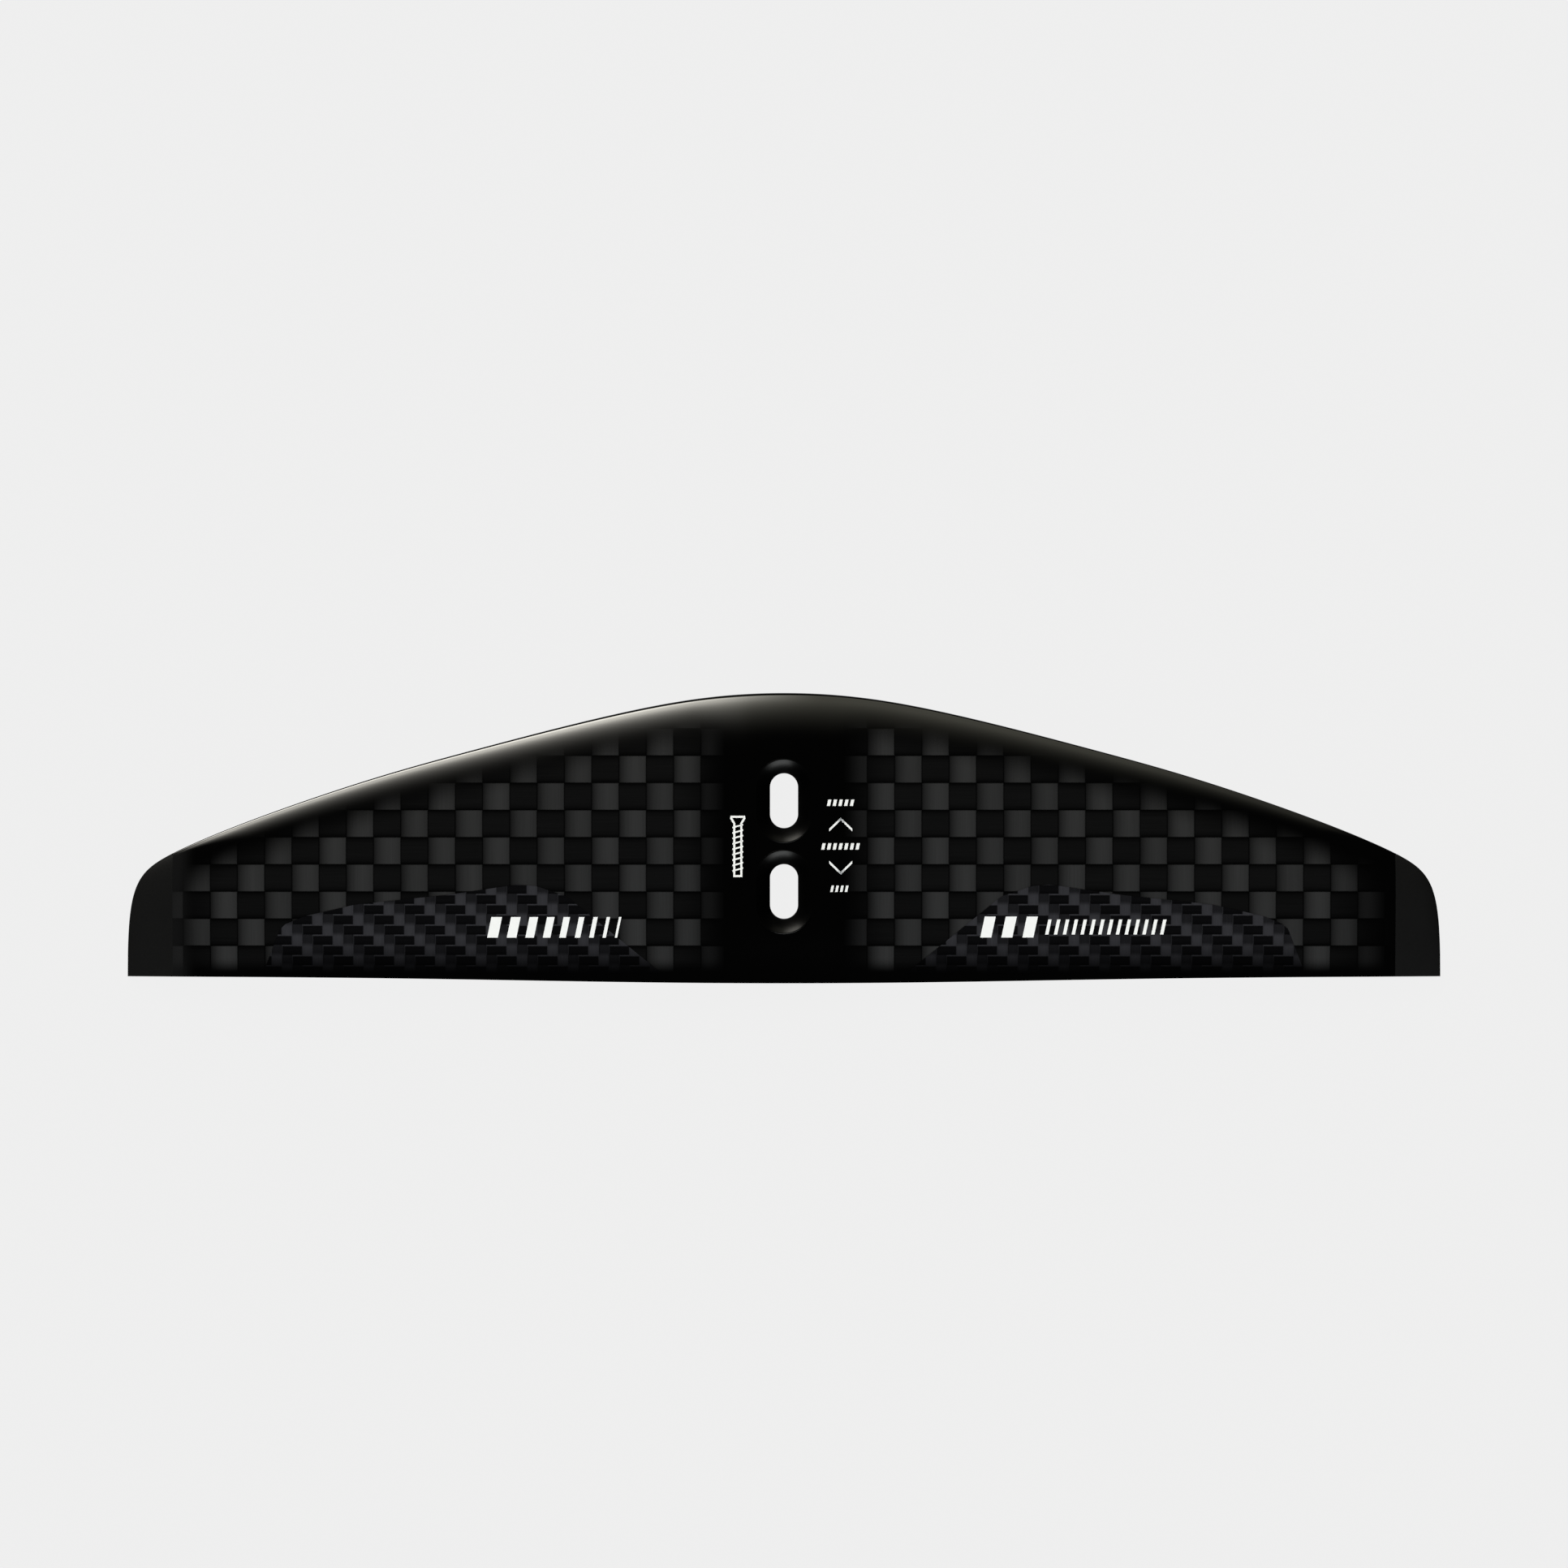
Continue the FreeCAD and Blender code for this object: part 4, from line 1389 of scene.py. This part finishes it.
class Wing:
    """The whole wing, put together on the CAD frame."""

    def __init__(self, finishes: Finishes) -> None:
        """Keeps the finishes and the sub-assemblies."""
        self.finishes = finishes
        self.shells = Shells()
        self.hub = Hub()

    def place(self, piece: bpy.types.Object, slot: str, node: str) -> None:
        """Puts a piece on the frame in place of a CAD node, and logs it."""
        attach(piece, "root")
        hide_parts(node)
        LOG.info("%s: %d faces", piece.name, len(piece.data.polygons))

    def skins(self) -> None:
        """The two skins, with room for the liners and the seat plate."""
        shells, finishes = self.shells, self.finishes
        reach = shells.plan.half_span - shells.tip_length
        half = shells.whole_chord(0, reach)
        limits = [(-x, a, b) for x, a, b in reversed(half[1:])] + half
        rim = self.hub.sink_radius + self.hub.lip + self.hub.skin_room
        sleeve = self.hub.slot_radius + self.hub.wall + self.hub.skin_room
        sinks = self.hub.cutter(rim)
        holes = self.hub.cutter(sleeve)
        seat = self.hub.seat_room()
        top = shells.shell("upper_skin", Layer.TOP_SKIN, limits, finishes.weave, sinks)
        self.place(top, "woven_skin", "top_skin")
        bottom = shells.shell("lower_skin", Layer.BOTTOM_SKIN, limits, finishes.weave, holes, seat)
        self.place(bottom, "woven_skin", "bottom_skin")
        for tool in (sinks, holes, seat):
            discard(tool)

    def tips(self) -> None:
        """The two satin tips."""
        shells = self.shells
        inner = shells.plan.half_span - shells.tip_length
        outer = shells.plan.half_span - shells.tip_land
        for name, limits in (
            ("right", shells.whole_chord(inner, outer)),
            ("left", shells.whole_chord(-outer, -inner)),
        ):
            tip = shells.shell(f"{name}_tip", Layer.WHOLE, limits, self.finishes.tip)
            self.place(tip, "satin_tip", f"tip_{name}")

    def plies(self) -> None:
        """The black ply over the hub and the twill plies."""
        shells = self.shells
        half_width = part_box("centre_doubler")[1][0]
        middles = shells.plan.along(0, half_width, shells.pitch)
        limits = [(x, *self.hub.ply_chord) for x in middles]
        limits = [(-x, a, b) for x, a, b in reversed(limits[1:])] + limits
        cutter = self.hub.cutter(self.hub.sink_radius + self.hub.lip)
        ply = shells.shell("hub_ply", Layer.PLY, limits, self.finishes.hub, cutter)
        self.place(ply, "black_ply", "centre_doubler")
        discard(cutter)
        for side, flip in (("left", -1), ("right", 1)):
            limits = Patch().limits(shells.plan, flip, shells.pitch)
            patch = shells.shell(f"{side}_twill", Layer.PLY, limits, self.finishes.twill)
            self.place(patch, "twill_ply", f"twill_patch_{side}")

    def liners(self) -> None:
        """The two slot liners."""
        for end, outline in self.hub.outlines().items():
            liner = self.hub.liner(f"{end}_liner", outline, self.finishes.liner)
            self.place(liner, "liner", f"{end}_slot_liner")

    def prints(self) -> None:
        """The white prints."""
        prints = Prints()
        for name, (ply, bars) in prints.marks().items():
            made = prints.lay(name, ply, bars, self.finishes.ink)
            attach(made, "root")
            LOG.info("%s: %d faces", name, len(made.data.polygons))

    def dress_frame(self) -> None:
        """Gives the CAD nodes that stay their finishes."""
        finishes = self.finishes
        kept = {
            "seat_plate": finishes.laminate,
            "root_block": finishes.laminate,
            "spar_cap_top": finishes.fibres,
            "spar_cap_bottom": finishes.fibres,
            "leading_edge_roving": finishes.fibres,
            "trailing_edge_strip": finishes.fibres,
            "foam_core_left": finishes.foam,
            "foam_core_right": finishes.foam,
        }
        for name, finish in kept.items():
            node = frame["nodes"][name]
            node.data.materials.clear()
            node.data.materials.append(finish)
            LOG.info("%s: dressed", name)


# ---------------------------------------------------------------- studio


@dataclass(frozen=True)
class Softbox:
    """Soft light in the sky with blurred sides.

    Its angles are degrees, with azimuth from +Y towards +X. Its four sides are smooth steps. climb
    is the power of the cosine of the elevation with which it weakens towards the zenith.
    """

    azimuth: float
    half_width: float
    left_fade: float
    right_fade: float
    top: float
    top_fade: float
    low: float
    low_fade: float
    power: float
    colour: Colour = (1.0, 1.0, 1.0)
    climb: float = 0.0

    def strength(self, graph: Graph, azimuth: Field, elevation: Field) -> Field:
        """Light from one direction of the sky.

        Args:
            graph: the sky's node tree.
            azimuth: where the direction points, in degrees from +Y.
            elevation: its height above the horizon in degrees.

        Returns:
            How bright this light is there.
        """
        aside = graph.maths("WRAP", azimuth - self.azimuth, 180, -180)
        half = self.half_width
        wide = graph.steps(aside, half + self.right_fade, half)
        wide = wide * graph.steps(aside, -half - self.left_fade, -half)
        tall = graph.steps(elevation, self.top + self.top_fade, self.top)
        tall = tall * graph.steps(elevation, self.low - self.low_fade, self.low)
        if self.climb:
            level = graph.maths("COSINE", graph.maths("RADIANS", elevation))
            tall = tall * graph.maths("MAXIMUM", level, 0) ** self.climb
        return self.power * wide * tall


@dataclass
class Studio:
    """Pale floor and backdrop, soft light and a camera that looks straight down."""

    floor_gap: float = 0.3 * MM
    room_radius: float = 8.0
    floor_tone: float = 0.85
    backdrop_tone: float = 0.855
    view_width: float = 469.8 * MM
    view_x: float = 0.0
    view_y: float = 18.6 * MM
    view_height: float = 4.0 * MM
    lens: float = 135.0
    sensor: float = 36.0
    ambient: float = 0.01
    lights: tuple[Softbox, ...] = (
        Softbox(-24, 6, 13, 22, 60, 28, 16, 10, 29.0, (1.0, 0.97, 0.88), climb=5.0),
        Softbox(5, 7, 20, 24, 30, 46, 6, 6, 1.15, (1.0, 0.98, 0.8)),
        Softbox(175, 12, 26, 16, 20, 12, -8, 16, 13.0, (0.97, 1.0, 0.99)),
        Softbox(-60, 90, 60, 60, -50, 20, -90, 5, 1.2),
    )

    def glow(self, name: str, tone: float, base: float) -> bpy.types.Material:
        """Matt material that glows evenly."""
        material = bpy.data.materials.new(name)
        material.use_nodes = True
        material.cycles.emission_sampling = "NONE"
        shader = material.node_tree.nodes["Principled BSDF"]
        shader.inputs["Base Color"].default_value = (base, base, base, 1)
        shader.inputs["Roughness"].default_value = 1.0
        shader.inputs["Specular IOR Level"].default_value = 0.0
        shader.inputs["Emission Color"].default_value = (tone, tone, tone, 1)
        shader.inputs["Emission Strength"].default_value = 1.0
        return material

    def room(self) -> None:
        """Floor and a round backdrop. Neither lights the wing nor shows in its gloss."""
        far = self.room_radius
        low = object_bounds()[0][2] - self.floor_gap
        turns = ((-far, -far), (far, -far), (far, far), (-far, far))
        corners = [Vector((x, y, low)) for x, y in turns]
        floor = new_object("floor", corners, [(0, 1, 2, 3)])
        floor.data.materials.append(self.glow("pale floor", self.floor_tone, 0.01))
        circle = SlotOutline(0.0, 0.0)
        backdrop = prism("backdrop", [circle.ring(far, -far), circle.ring(far, far)])
        backdrop.data.materials.append(self.glow("pale backdrop", self.backdrop_tone, 0.0))
        for made in (floor, backdrop):
            made.visible_glossy = made.visible_diffuse = made.visible_shadow = False
            made.visible_transmission = False
            made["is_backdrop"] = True

    def sky(self) -> None:
        """World that holds the soft lights and is nearly black between them."""
        world = bpy.data.worlds.new("studio")
        bpy.context.scene.world = world
        world.use_nodes = True
        graph = Graph(world.node_tree)
        way = graph.add("ShaderNodeTexCoord").outputs["Generated"]
        to_right, ahead, up = graph.parts(way)
        azimuth = graph.maths("DEGREES", graph.maths("ARCTAN2", to_right, ahead))
        elevation = graph.maths("DEGREES", graph.maths("ARCSINE", up))
        parts: list[Value] = [self.ambient] * 3
        for light in self.lights:
            shine = light.strength(graph, azimuth, elevation)
            parts = [part + shine * tint for part, tint in zip(parts, light.colour)]
        graph.feed(world.node_tree.nodes["Background"].inputs[0], graph.colour(*parts))

    def camera(self) -> None:
        """Camera over the wing, with the wing low in its view."""
        data = bpy.data.cameras.new("camera")
        data.lens, data.sensor_width = self.lens, self.sensor
        data.clip_start, data.clip_end = 0.05, 50
        made = bpy.data.objects.new("camera", data)
        bpy.context.scene.collection.objects.link(made)
        away = self.view_width * self.lens / self.sensor
        made.location = (self.view_x, self.view_y, self.view_height + away)
        bpy.context.scene.camera = made

    def build(self) -> None:
        """Sets up the studio."""
        self.room()
        self.sky()
        self.camera()
        bpy.context.scene.view_settings.view_transform = "Standard"
        LOG.info("studio: ready")


def main() -> None:
    """Builds the wing and its studio."""
    logging.basicConfig(level=logging.INFO, format="%(name)s %(message)s")
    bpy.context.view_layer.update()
    studio = Studio()
    studio.build()
    wing = Wing(Finishes())
    wing.skins()
    wing.tips()
    wing.plies()
    wing.liners()
    wing.prints()
    wing.dress_frame()


if __name__ == "__main__":
    main()
